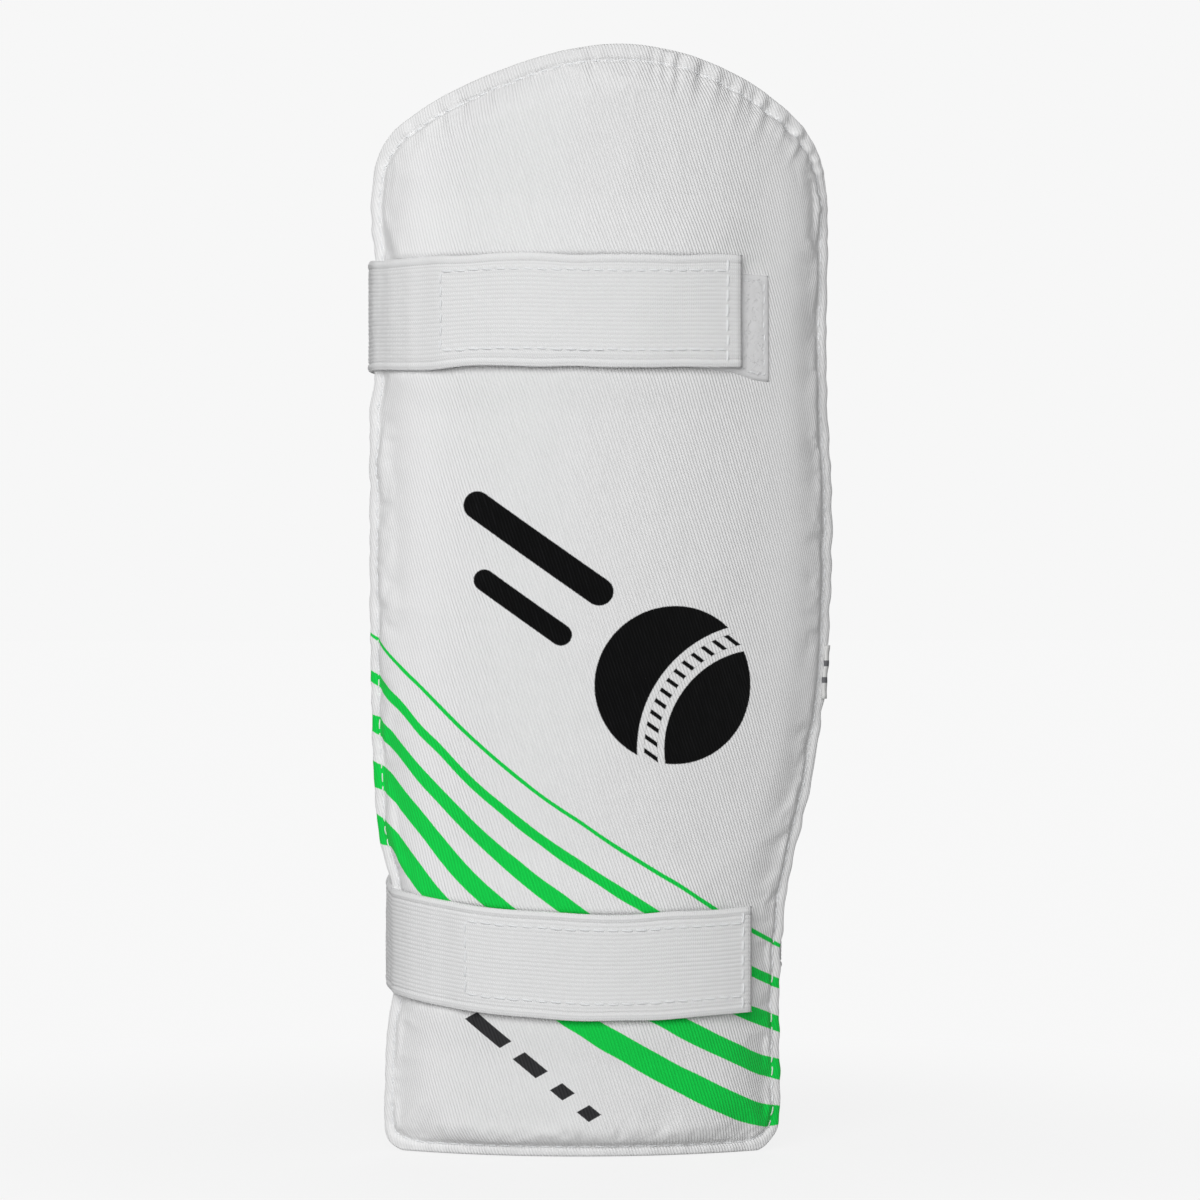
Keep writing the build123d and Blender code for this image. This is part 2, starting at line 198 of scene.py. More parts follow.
def s_right(z):
    z = np.asarray(z, float)
    s = np.interp(z, right_c[:, 1], right_c[:, 0])
    return s + (0.25 * hem_wave(z + 500) + 0.12 * hem_wave2(z + 500)) * smoothstep(2, 12, z) * (1 - smoothstep(283, 293, z))


zz = np.linspace(0, TOPZ, 6000)
_sl, _sr = np.interp(zz, left_c[:, 1], left_c[:, 0]), np.interp(zz, right_c[:, 1], right_c[:, 0])
_step = np.sqrt(np.diff(zz) ** 2 + np.maximum(np.abs(np.diff(_sl)), np.abs(np.diff(_sr))) ** 2)
_cum = np.concatenate([[0], np.cumsum(_step)])


def rows_at(step):
    n = int(_cum[-1] / step) // 4 * 4
    return np.interp(np.linspace(0, _cum[-1], n + 1), _cum, zz)


edge_z = np.linspace(0, TOPZ, 3000)
edge = even(np.vstack([np.column_stack([s_left(edge_z), edge_z]), np.column_stack([s_right(edge_z), edge_z])[::-1]]), 0.4)
kd = KDTree(len(edge))
for i, (a, b) in enumerate(edge):
    kd.insert((a, b, 0), i)
kd.balance()
PERIM = 0.4 * len(edge)


def edge_distance(s, z):
    # distance to the side and top edge, and the place along it
    d, w = np.empty(len(s)), np.empty(len(s))
    for i in range(len(s)):
        _, j, r = kd.find((s[i], z[i], 0))
        d[i], w[i] = r, j * 0.4
    return d, w


# ---------------------------------------------------------------- pad surfaces
R_HEM, R_CROWN = 91.45, 95.2
pk1, pk2, pk3 = Noise1(10.5, 21), Noise1(5.0, 22), Noise1(17, 23)
broad = Noise2(60, 31)
mid_n = Noise2(22, 32)
TOP_A = 0.4 * int(np.argmin(np.hypot(edge[:, 0] + 60, edge[:, 1] - 272)))


# middle of the lower strap across the front
SWELL_X = np.array([-64.0, -60.0, -46.0, -28.0, -8.0, 10.0, 26.0, 42.0, 64.0])
SWELL_Z = np.array([57.9, 57.1, 54.4, 52.0, 50.8, 50.7, 51.4, 52.5, 54.0])


def front_r(s, z, d, w):
    # zones: 0 sides, 1 dome
    dome = smoothstep(255, 278, z + 0.0 * s)
    width = 18.0 - 7.5 * dome
    t = np.clip((d - 3.25 - 1.0 * dome) / width, 0, 1)
    f = 1 - (1 - t) ** (2.1 + 0.7 * dome)
    tb = np.clip((z - 3.0) / 5.5, 0, 1)
    g = np.sqrt(np.clip(1 - (1 - tb) ** 2, 0, 1))
    r = R_HEM + (R_CROWN - R_HEM) * f * g
    # stitched-down seam, tighter at the dome and the wrist end
    near = np.minimum(d, z * 1.15)
    dn = near - 1.0 * dome
    r -= (0.24 + 0.20 * dome + 0.50 * smoothstep(9, 4, z)) * np.exp(-((dn - 3.05) / 0.58) ** 2)
    r += (0.10 + 0.13 * dome + 0.02 * smoothstep(9, 4, z)) * np.exp(-((dn - 1.6) / 1.0) ** 2)
    # gathers along the seam
    right_top = smoothstep(238, 262, z) * smoothstep(6, 26, s)
    amount = 0.20 + 0.35 * dome + 0.95 * right_top + 0.25 * smoothstep(14, 4, z)
    fall = np.exp(-(np.maximum(near - 3.0, 0) / (4.2 + 3.0 * right_top)) ** 2) * smoothstep(-0.5, 2.0, near)
    along = np.where(z * 1.15 < d, s * 1.03 + 900, w)
    r += fall * amount * (0.30 * pk1(along) + 0.22 * pk2(along))
    r += 0.05 * np.exp(-((near - 3.0) / 2.0) ** 2) * np.cos(2 * math.pi * along / 3.7)
    # the soft panel swells a little along the straps that press on it
    deg = np.degrees(s / RREF)
    x = r * np.sin(s / RREF)
    up_on = smoothstep(-41, -34, deg) * (1 - smoothstep(12, 30, deg))
    lo_on = smoothstep(-41, -34, deg) * (1 - smoothstep(8, 25, deg))
    lo_mid = np.interp(x, SWELL_X, SWELL_Z)
    for on, over, under in ((up_on, z - UP_Z[1], UP_Z[0] - z), (lo_on, z - lo_mid - LO_W / 2, lo_mid - LO_W / 2 - z)):
        r += on * 1.95 * smoothstep(-1.2, 0.5, over) * (1 - smoothstep(0.6, 17.0, over)) * smoothstep(2, 12, d)
        r += on * 0.80 * smoothstep(-0.7, 1.6, under) * (1 - smoothstep(2.2, 13.0, under)) * smoothstep(2, 12, np.minimum(d, z))
    # broad hand-made unevenness of the panel
    body = smoothstep(6, 22, np.minimum(d, z))
    r += body * (0.16 * broad(s, z) + 0.05 * mid_n(s, z))
    return r


def back_r(s, z, d, w):
    t = np.clip((d - 2.6) / 11.0, 0, 1)
    f = np.sqrt(np.clip(1 - (1 - t) ** 2, 0, 1))
    tb = np.clip((z - 2.0) / 10.0, 0, 1)
    g = np.sqrt(np.clip(1 - (1 - tb) ** 2, 0, 1))
    r = 89.6 - 9.4 * f * g
    near = np.minimum(d, z * 1.15)
    fall = np.exp(-(np.maximum(near - 3.0, 0) / 7) ** 2)
    along = np.where(z * 1.15 < d, s * 1.03 + 900, w)
    r += fall * 0.35 * pk3(along) * smoothstep(1.5, 4.0, near)
    r += smoothstep(6, 22, near) * 0.25 * broad(s + 40, z)
    return r


def grid(step, ncol):
    zr = rows_at(step)
    u = np.linspace(0, 1, ncol + 1)
    S = s_left(zr)[:, None] * (1 - u) + s_right(zr)[:, None] * u
    Z = np.repeat(zr[:, None], ncol + 1, axis=1)
    return S, Z


def on_arc(s, r, z):
    a = s / RREF
    return np.column_stack([r * np.sin(a), -r * np.cos(a), z])


def quads(nr, nc, flip=False):
    i, j = np.meshgrid(np.arange(nr - 1), np.arange(nc - 1), indexing="ij")
    a = (i * nc + j).ravel()
    q = np.column_stack([a, a + 1, a + nc + 1, a + nc])
    return q[:, ::-1] if flip else q


def rim(nr, nc):
    # indices of the border, anticlockwise from the bottom left
    bottom = [j for j in range(nc)]
    right = [i * nc + nc - 1 for i in range(1, nr)]
    top = [(nr - 1) * nc + j for j in range(nc - 2, -1, -1)]
    left = [i * nc for i in range(nr - 2, 0, -1)]
    return bottom + right + top + left


STEP = 0.86
S, Z = grid(STEP, 160)
NR, NC = S.shape
s_, z_ = S.ravel(), Z.ravel()
d_, w_ = edge_distance(s_, z_)
Rf = front_r(s_, z_, d_, w_)
front_pts = on_arc(s_, Rf, z_)


# ---------------------------------------------------------------- node helper
class N:
    """A value in a shader tree, with arithmetic."""

    def __init__(self, tree, socket):
        self.t, self.s = tree, socket

    def op(self, kind, *others, clamp=False):
        n = self.t.nodes.new("ShaderNodeMath")
        n.operation = kind
        n.use_clamp = clamp
        for k, v in enumerate((self,) + others):
            if isinstance(v, N):
                self.t.links.new(v.s, n.inputs[k])
            else:
                n.inputs[k].default_value = float(v)
        return N(self.t, n.outputs[0])

    def __add__(self, o): return self.op("ADD", o)
    def cos(self): return self.op("COSINE")
    def __radd__(self, o): return self.op("ADD", o)
    def __sub__(self, o): return self.op("SUBTRACT", o)
    def __mul__(self, o): return self.op("MULTIPLY", o)
    def __rmul__(self, o): return self.op("MULTIPLY", o)
    def __truediv__(self, o): return self.op("DIVIDE", o)
    def __neg__(self): return self.op("MULTIPLY", -1.0)
    def min(self, o): return self.op("MINIMUM", o)
    def max(self, o): return self.op("MAXIMUM", o)
    def abs(self): return self.op("ABSOLUTE")
    def sin(self): return self.op("SINE")
    def pow(self, o): return self.op("POWER", o)
    def sqrt(self): return self.op("SQRT")
    def frac(self): return self.op("FRACT")

    def ramp(self, a, b):
        n = self.t.nodes.new("ShaderNodeMapRange")
        n.interpolation_type = "SMOOTHSTEP"
        self.t.links.new(self.s, n.inputs[0])
        n.inputs[1].default_value, n.inputs[2].default_value = a, b
        return N(self.t, n.outputs[0])


class Mat:
    def __init__(self, name, rough=0.9, sheen=0.0):
        self.m = bpy.data.materials.new(name)
        self.m.use_nodes = True
        self.t = self.m.node_tree
        self.b = self.t.nodes["Principled BSDF"]
        self.b.inputs["Roughness"].default_value = rough
        self.b.inputs["Specular IOR Level"].default_value = 0.12
        if sheen:
            self.b.inputs["Sheen Weight"].default_value = sheen
            self.b.inputs["Sheen Roughness"].default_value = 0.5

    def attr(self, name):
        n = self.t.nodes.new("ShaderNodeAttribute")
        n.attribute_name = name
        return n

    def mm(self):
        n = self.attr("mm")
        s = self.t.nodes.new("ShaderNodeSeparateXYZ")
        self.t.links.new(n.outputs["Vector"], s.inputs[0])
        return N(self.t, s.outputs[0]), N(self.t, s.outputs[1])

    def value(self, name):
        return N(self.t, self.attr(name).outputs["Fac"])

    def curve(self, x, pts):
        # value of a smooth curve through (x, y) points, x in -75..75, y in 0..300
        n = self.t.nodes.new("ShaderNodeFloatCurve")
        c = n.mapping.curves[0]
        n.mapping.use_clip = False
        pts = [((a + 75) / 150, b / 300) for a, b in pts]
        while len(c.points) < len(pts):
            c.points.new(0.5, 0.5)
        for k, (a, b) in enumerate(pts):
            c.points[k].location = (a, b)
            c.points[k].handle_type = "AUTO"
        n.mapping.update()
        self.t.links.new(((x + 75.0) * (1 / 150)).s, n.inputs["Value"])
        return N(self.t, n.outputs[0]) * 300.0

    def noise(self, x, y, scale, detail=2.0, rough=0.5):
        c = self.t.nodes.new("ShaderNodeCombineXYZ")
        self.t.links.new(x.s, c.inputs[0])
        self.t.links.new(y.s, c.inputs[1])
        n = self.t.nodes.new("ShaderNodeTexNoise")
        n.noise_dimensions = "3D"
        self.t.links.new(c.outputs[0], n.inputs["Vector"])
        n.inputs["Scale"].default_value = scale
        n.inputs["Detail"].default_value = detail
        n.inputs["Roughness"].default_value = rough
        return N(self.t, n.outputs["Fac"])

    def mix(self, f, a, b):
        n = self.t.nodes.new("ShaderNodeMix")
        n.data_type = "RGBA"
        if isinstance(f, N):
            self.t.links.new(f.s, n.inputs[0])
        else:
            n.inputs[0].default_value = f
        for k, v in ((6, a), (7, b)):
            if isinstance(v, (tuple, list)):
                n.inputs[k].default_value = (*v, 1.0)
            else:
                self.t.links.new(v, n.inputs[k])
        return n.outputs[2]

    def scale(self, colour, f):
        n = self.t.nodes.new("ShaderNodeVectorMath")
        n.operation = "SCALE"
        if isinstance(colour, (tuple, list)):
            n.inputs[0].default_value = colour
        else:
            self.t.links.new(colour, n.inputs[0])
        self.t.links.new(f.s, n.inputs["Scale"])
        return n.outputs[0]

    def colour(self, v):
        if isinstance(v, (tuple, list)):
            self.b.inputs["Base Color"].default_value = (*v, 1.0)
        else:
            self.t.links.new(v, self.b.inputs["Base Color"])

    def bump(self, h, distance, strength=1.0):
        n = self.t.nodes.new("ShaderNodeBump")
        n.inputs["Strength"].default_value = strength
        n.inputs["Distance"].default_value = distance
        self.t.links.new(h.s, n.inputs["Height"])
        self.t.links.new(n.outputs[0], self.b.inputs["Normal"])


CLOTH = (0.850, 0.850, 0.852)
GREEN = (0.006, 0.64, 0.072)
BLACK = (0.0035, 0.0035, 0.0040)


def capsule(x, y, ax, ay, bx, by, r):
    vx, vy = bx - ax, by - ay
    ln = vx * vx + vy * vy
    t = ((x - ax) * (vx / ln) + (y - ay) * (vy / ln)).op("MAXIMUM", 0.0).op("MINIMUM", 1.0)
    dx, dy = x - ax - t * vx, y - ay - t * vy
    return r + (dx * dx + dy * dy).sqrt() * -1.0


def disc(x, y, cx, cy, r):
    dx, dy = x - cx, y - cy
    return r + (dx * dx + dy * dy).sqrt() * -1.0


def cover_material(printed=True):
    m = Mat("cover_twill", 0.9, 0.05)
    s, z = m.mm()
    wob = m.noise(s * 0.05, z * 0.05, 1.0, 3.0)
    # steep twill lines running down to the right, with slubs along them
    u = s + z * (1 / 3.05) + wob * 0.55
    v = z - s * (1 / 3.05)
    slub = m.noise(u * 1.6, v * 0.16, 1.0, 3.0, 0.6)
    fine = m.noise(u * 2.2, v * 1.3, 1.0, 2.0, 0.6)
    wave = ((u + slub * 0.30) * (2 * math.pi / 0.87)).sin()
    pick = ((v + fine * 0.12) * (2 * math.pi / 0.42)).sin()
    line = wave * 0.5 + 0.5
    height = line.pow(0.8) * (slub * 0.8 + 0.6) + pick * 0.10 + fine * 0.35
    flat = (s.abs() * -1.0 + 58.0).ramp(0.0, 26.0) * 0.65 + 0.35
    shade = 0.975 + ((line - 0.5) * 0.062 + (slub - 0.5) * 0.080 + (fine - 0.5) * 0.045) * flat
    base = m.scale(CLOTH, shade)
    if printed:
        sd = None
        for rows in STRIPES:
            up, lo = [sz(x, a, print_r(x)) for x, a, b in rows], [sz(x, b, print_r(x)) for x, a, b in rows]
            one_ = ((m.curve(s, up) - z).min(z - m.curve(s, lo))) * 0.76
            sd = one_ if sd is None else sd.max(one_)
        green = m.scale(GREEN, line * 0.12 + slub * 0.26 + 0.82)
        base = m.mix((sd + fine * 0.22 - 0.11).ramp(-0.13, 0.13), base, green)
        # own mark: a plain cricket ball with two seam lines and two trailing strokes
        a = math.radians(-36)
        cx, cz = MARK
        px = ((s - cx) * math.cos(a) + (z - cz) * math.sin(a)) * (1 / 1.2)
        py = ((z - cz) * math.cos(a) - (s - cx) * math.sin(a)) * (1 / 1.2)
        ball = disc(px, py, 17.0, 0.0, 17.5)
        seam_a = (disc(px, py, 41.0, 0.0, 27.0).abs() * -1.0) + 0.75
        seam_b = (disc(px, py, 41.0, 0.0, 22.6).abs() * -1.0) + 0.75
        tick = (((py * (1 / 2.6)).frac() - 0.5).abs() * -2.6) + 0.85
        band = (disc(px, py, 41.0, 0.0, 24.8).abs() * -1.0) + 1.5
        cut = seam_a.max(seam_b).max(tick.min(band))
        ball = ball.min(cut * -1.0)
        one = capsule(px, py, -41.0, 7.0, -8.5, 7.0, 3.1)
        two = capsule(px, py, -30.0, -5.5, -9.5, -5.5, 2.4)
        mark = ball.max(one).max(two)
        # black print, with painted highlights: the ink is made lighter along the twill ridges
        ink_with_painted_highlight = m.scale((0.010, 0.010, 0.011), (line * slub).pow(2.0) * 1.6 + 0.10)
        base = m.mix((mark + fine * 0.24 - 0.12).ramp(-0.14, 0.14), base, ink_with_painted_highlight)
        # plain dark dashes where small lettering would be
        qx = (s - DASH[0]) * math.cos(math.radians(-40)) + (z - DASH[1]) * math.sin(math.radians(-40))
        qy = (z - DASH[1]) * math.cos(math.radians(-40)) - (s - DASH[0]) * math.sin(math.radians(-40))
        dash = None
        for x0, x1 in ((-20.4, -8.6), (-4.2, 3.6), (8.4, 12.6), (17.4, 21.4)):
            bar = ((qx - qy * 0.35 - (x0 + x1) / 2).abs() * -1.0 + (x1 - x0) / 2).min(qy.abs() * -1.0 + 1.75)
            dash = bar if dash is None else dash.max(bar)
        grey = m.scale((0.035, 0.035, 0.037), line * 0.4 + slub * 0.8 + 0.35)
        base = m.mix((dash + fine * 0.2 - 0.1).ramp(-0.12, 0.12), base, grey)
    m.colour(base)
    m.bump(height * flat, 0.00019, 1.0)
    return m.m


def towel_material():
    m = Mat("towelling", 0.97, 0.3)
    s, z = m.mm()
    a = m.noise(s, z, 0.9, 3.0, 0.7)
    b = m.noise(s, z, 0.25, 2.0)
    m.colour(m.scale((0.80, 0.80, 0.79), a * 0.30 + b * 0.10 + 0.78))
    m.bump(a, 0.0007, 0.8)
    return m.m


def elastic_material():
    m = Mat("elastic", 0.85, 0.10)
    u, v = m.mm()
    pitch = 25.0 / 22.0
    knit = (((u + ((v * (1 / pitch) + 0.5).frac() - 0.5).abs() * 0.7) * (2 * math.pi / 0.62)).sin() * 0.5 + 0.5)
    n = m.noise(u * 1.1, v * 2.0, 1.0, 3.0, 0.6)
    big = m.noise(u * 0.08, v * 0.10, 1.0, 2.0)
    ridge = ((v * (math.pi / pitch)).op("COSINE").abs()).pow(0.6)
    inner = (v.abs() * -1.0 + 12.6).ramp(0.0, 0.4)
    # painted shade: the elastic's colour is darkened in the troughs between the ribs
    rib_trough_shade = (1.0 + (ridge * -1.0)) * inner
    # painted shade: darker along the groove beside each corded selvedge
    selvedge_groove_shade = ((v.abs() - 12.75).abs() * -1.0).ramp(-0.35, -0.02)
    shade = knit * 0.045 + n * 0.06 + big * 0.03 + 0.905 + rib_trough_shade * -0.11 + selvedge_groove_shade * -0.12
    m.colour(m.scale((0.820, 0.822, 0.825), shade))
    m.bump(knit * (ridge * 0.5 + 0.5) + n * 0.5, 0.00012, 0.8)
    return m.m


def plain(name, colour, rough=0.85, sheen=0.0, bump=None):
    m = Mat(name, rough, sheen)
    m.colour(colour)
    return m.m


def sz(px, py, r=95.2):
    # a point of the front panel given in the drawing's units
    t = 0.0
    for _ in range(40):
        f = 600 + 4444 * (r * math.sin(t) - 5.13) / (1270 - r * math.cos(t)) - px
        dd = 4444 * (r * math.cos(t) * (1270 - r * math.cos(t)) - (r * math.sin(t) - 5.13) * r * math.sin(t)) / (1270 - r * math.cos(t)) ** 2
        t -= f / dd
    return RREF * (t - math.radians(4)), 147.7 + (600 - py) * (1270 - r * math.cos(t)) / 4444


def print_r(px):
    # the panel drops towards its side hems, and the print goes down with it
    t = min(max(min(px - 383, 776 - px) / 38.0, 0.0), 1.0)
    return 91.5 + 3.7 * (1 - (1 - t) ** 2.1)


MARK = sz(612, 640)
DASH = sz(531, 1066)

# stripes: lower and upper edge at a list of places across the panel
STRIPES = [
    # x, upper y, lower y
    [(368, 630.5, 633.5), (374, 635, 638.5), (380, 639, 643), (392, 653.5, 658), (400, 663.5, 668.5), (420, 684, 689), (440, 704, 709.5), (460, 724, 729.5),
     (480, 743, 748), (500, 760.5, 765.5), (520, 777, 782), (540, 793, 797.5), (560, 807, 811.5), (580, 820, 824.5), (600, 834, 838.5), (620, 847, 852),
     (640, 859.5, 864.5), (660, 872, 877), (680, 884, 889), (700, 897.5, 902.5), (730, 916, 921), (760, 932, 937), (776, 941.5, 946), (784, 946, 950)],
    [(368, 668, 679), (374, 672, 683.5), (380, 675.5, 688), (392, 690, 702), (400, 698.5, 711.5), (420, 724, 736), (440, 743.5, 755.5), (460, 765, 777),
     (480, 784.5, 796), (500, 801.5, 813), (520, 817.5, 830), (540, 833, 845), (560, 847, 860), (580, 860, 873), (600, 873.5, 886), (620, 886, 899.5),
     (640, 899, 911), (680, 925, 937), (720, 949, 961), (760, 969.5, 980), (776, 977, 987.5), (784, 981, 990)],
    [(368, 711, 729), (374, 715, 732), (380, 717, 736), (392, 731, 749.5), (400, 742, 759), (420, 766, 784), (440, 787, 805), (460, 807, 826), (480, 827, 846),
     (500, 845, 864), (520, 861, 881), (540, 877, 897), (560, 891, 912), (600, 921, 941), (640, 949, 967), (680, 973, 990), (720, 994, 1008), (740, 1002, 1017),
     (760, 1008.5, 1025), (776, 1015, 1031), (784, 1018, 1034)],
    [(368, 757, 784), (374, 761, 787), (380, 764.5, 789), (392, 775, 799.5), (400, 786, 811), (420, 809.5, 835), (440, 833, 859), (460, 856, 881), (480, 876.5, 900),
     (500, 894, 917), (540, 927, 950), (580, 957, 980), (620, 985, 1007), (660, 1005, 1026.5), (680, 1015.5, 1038), (700, 1025.5, 1048), (720, 1035.5, 1057),
     (740, 1044.5, 1066), (760, 1053.5, 1074.5), (770, 1056.5, 1077), (776, 1058, 1079), (784, 1060, 1081)],
    [(368, 808, 836), (374, 812, 840), (380, 816, 843.5), (392, 826.5, 850), (400, 838, 866), (420, 863, 891), (440, 886, 912), (480, 928, 954), (520, 965, 992),
     (560, 996, 1023), (580, 1009, 1035.5), (600, 1021.5, 1049), (620, 1032.5, 1060), (640, 1044, 1072), (660, 1055, 1083), (680, 1066, 1093.5), (700, 1075.5, 1104),
     (720, 1085.5, 1113), (740, 1094.5, 1121), (760, 1102.5, 1126), (770, 1104.5, 1127), (776, 1105, 1125), (784, 1106, 1125)],
]


# ---------------------------------------------------------------- front cover
EDGE_IN = 0.62
R_ROLL, ROLL = 90.52, 0.93


def skin_grid(step, ncol):
    S0, Z0 = grid(step, ncol)
    u = (S0 - S0[:, :1]) / (S0[:, -1:] - S0[:, :1])
    z = EDGE_IN + Z0 * (TOPZ - 2 * EDGE_IN) / TOPZ
    lo, hi = s_left(z) + EDGE_IN, s_right(z) - EDGE_IN
    s = lo * (1 - u) + hi * u
    k = smoothstep(TOPZ - 9.0, TOPZ - EDGE_IN, z)
    return s, z + k * (1.0 * (1 - (2 * u - 1) ** 2) - 0.55)


S, Z = skin_grid(STEP, 160)
NR, NC = S.shape
s_, z_ = S.ravel(), Z.ravel()
d_, w_ = edge_distance(s_, z_)
Rf = front_r(s_, z_, d_, w_)
front_pts = on_arc(s_, Rf, z_)


def strap_cover(s, z):
    # 1 where a strap or its loop patch presses on the cover
    deg = np.degrees(s / RREF)
    up = smoothstep(UP_Z[0] - 3, UP_Z[0] + 2, z) * (1 - smoothstep(UP_Z[1] - 2, UP_Z[1] + 3, z)) * (1 - smoothstep(26, 30, deg))
    lo = smoothstep(34, 40, z) * (1 - smoothstep(63, 70, z)) * (1 - smoothstep(23, 26, deg))
    return np.maximum(up, lo)


def simulate_cover():
    """Sewn-down cloth with a little spare length over the foam: real gathers at the seam."""
    k = 2
    sub = (np.arange(0, NR, k)[:, None] * NC + np.arange(0, NC, k)[None, :])
    nr, nc = sub.shape
    idx = sub.ravel()
    pts = row(front_pts[idx])
    o = mesh("cover_sim", pts, quads(nr, nc))
    near = np.minimum(d_[idx], z_[idx] * 1.15)
    pin = np.clip(1 - smoothstep(3.0, 4.2, near), 0, 1)
    hold = 0.03 + 0.10 * smoothstep(14, 40, near)
    weight = np.maximum(np.maximum(pin, hold), strap_cover(s_[idx], z_[idx]) * 0.6)
    vg = o.vertex_groups.new(name="pin")
    levels = np.round(weight * 40).astype(int)
    for lv in np.unique(levels):
        vg.add([int(i) for i in np.where(levels == lv)[0]], float(lv) / 40, "REPLACE")
    mod = o.modifiers.new("cloth", "CLOTH")
    c = mod.settings
    c.quality = 5
    c.mass = 0.25
    c.tension_stiffness = 40
    c.compression_stiffness = 40
    c.shear_stiffness = 12
    c.bending_stiffness = 0.02
    c.tension_damping = c.compression_damping = 12
    c.vertex_group_mass = "pin"
    c.pin_stiffness = 1.0
    c.shrink_min = -0.035
    c.effector_weights.gravity = 0.0
    mod.collision_settings.use_collision = False
    mod.collision_settings.use_self_collision = False
    sc = bpy.context.scene
    frames = 24
    mod.point_cache.frame_start, mod.point_cache.frame_end = 1, frames
    sc.frame_start, sc.frame_end = 1, frames
    for f in range(1, frames + 1):
        sc.frame_set(f)
    dg = bpy.context.evaluated_depsgraph_get()
    ev = o.evaluated_get(dg).to_mesh()
    out = np.empty(len(ev.vertices) * 3)
    ev.vertices.foreach_get("co", out)
    out = out.reshape(-1, 3) * 1000
    delta = out - pts * 1000
    sc.frame_set(1)
    bpy.data.objects.remove(o, do_unlink=True)
    return delta.reshape(nr, nc, 3), k


delta, k = simulate_cover()
nrm = on_arc(s_, np.ones(len(s_)), np.zeros(len(s_)))
nrm /= np.linalg.norm(nrm, axis=1)[:, None]
# back onto the fine grid, smoothly
ri, ci = np.arange(NR) / k, np.arange(NC) / k
i0, j0 = np.minimum(ri.astype(int), delta.shape[0] - 2), np.minimum(ci.astype(int), delta.shape[1] - 2)
fi, fj = (ri - i0)[:, None, None], (ci - j0)[None, :, None]
D = (delta[i0][:, j0] * (1 - fi) * (1 - fj) + delta[i0 + 1][:, j0] * fi * (1 - fj)
     + delta[i0][:, j0 + 1] * (1 - fi) * fj + delta[i0 + 1][:, j0 + 1] * fi * fj).reshape(-1, 3)
out = (D * nrm).sum(1)
print("SIM", "max", round(float(np.abs(out).max()), 3), "rms", round(float(np.sqrt((out ** 2).mean())), 3))
near = np.minimum(d_, z_ * 1.15)
soft = 1.0 * np.tanh(out / 1.0)
keep = 0.10 + 0.75 * (1 - smoothstep(5, 17, near))
Rf = Rf + soft * keep * smoothstep(1.5, 4.0, near) * (1 - strap_cover(s_, z_))
front_pts = on_arc(s_, Rf, z_)

ring = rim(NR, NC)
rs, rz = s_[ring], z_[ring]
ts, tz = np.roll(rs, -1) - np.roll(rs, 1), np.roll(rz, -1) - np.roll(rz, 1)
ln = np.hypot(ts, tz)
es, ez = tz / ln, -ts / ln
for _ in range(2):
    es, ez = (np.roll(es, 1) + 2 * es + np.roll(es, -1)) / 4, (np.roll(ez, 1) + 2 * ez + np.roll(ez, -1)) / 4
ln = np.hypot(es, ez)
es, ez = es / ln, ez / ln
r0 = Rf[ring]
hem_fat = 1 + 0.22 * Noise1(19, 41)(np.arange(len(ring)) * 0.8) + 0.10 * Noise1(6, 42)(np.arange(len(ring)) * 0.8)
hem_fat = np.clip(hem_fat, 0.7, 1.35)
roll_pts, roll_mm, roll_ids = [], [], []
base = len(front_pts)
angles = (58, 28, 0, -30, -60, -90)
for n, deg in enumerate(angles):
    a = math.radians(deg)
    e = EDGE_IN * math.cos(a)
    top = math.sin(a)
    rr = np.where(top >= 0, R_ROLL + (r0 - R_ROLL) * top, R_ROLL + (R_ROLL - 89.59) * hem_fat * 0 + (R_ROLL - 89.59) * top)
    roll_pts.append(on_arc(rs + es * e, rr, np.maximum(rz + ez * e, 0.0)))
    far = 0.9 * (n + 1) * 0.5
    roll_mm.append(np.column_stack([rs + es * far, rz + ez * far]))
    roll_ids.append(base + n * len(ring) + np.arange(len(ring)))
faces = [tuple(f) for f in quads(NR, NC)]
prev = np.array(ring)
for ids in roll_ids:
    a, b = prev, np.roll(prev, -1)
    c, dd = np.roll(ids, -1), ids
    faces += [tuple(f) for f in np.column_stack([a, dd, c, b])]
    prev = ids
all_pts = np.vstack([front_pts] + roll_pts)
all_mm = np.vstack([np.column_stack([s_, z_])] + roll_mm)
cover = mesh("front_cover_skin", row(all_pts), faces, mm=all_mm, material=cover_material())
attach(cover, "pad")
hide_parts("front_cover")

tree = BVHTree.FromPolygons([Vector(p) for p in all_pts], [tuple(int(i) for i in f) for f in faces])


def drop(s, z, lift=0.0):
    # point and outward normal on the cover at arc s, height z
    pts, nor = [], []
    for a, b in zip(np.atleast_1d(s), np.atleast_1d(z)):
        t = a / RREF
        dirn = Vector((-math.sin(t), math.cos(t), 0))
        hit, n, _, _ = tree.ray_cast(Vector((110 * math.sin(t), -110 * math.cos(t), b)), dirn)
        if hit is None:
            hit, n = Vector((91.4 * math.sin(t), -91.4 * math.cos(t), b)), -dirn
        if n.dot(dirn) > 0:
            n = -n
        pts.append(hit + n * lift)
        nor.append(n)
    return np.array([tuple(p) for p in pts]), np.array([tuple(n) for n in nor])


# ---------------------------------------------------------------- lining
SB, ZB = skin_grid(1.72, 80)
BR, BC = SB.shape
sb, zb = SB.ravel(), ZB.ravel()
db, wb = edge_distance(sb, zb)
Rb = back_r(sb, zb, db, wb)
Rb[rim(BR, BC)] = 89.59
back_pts = on_arc(sb, Rb, zb)
towel = mesh("lining_skin", row(back_pts), quads(BR, BC, flip=True), mm=np.column_stack([sb, zb]), material=towel_material())
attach(towel, "pad")
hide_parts("back_lining")


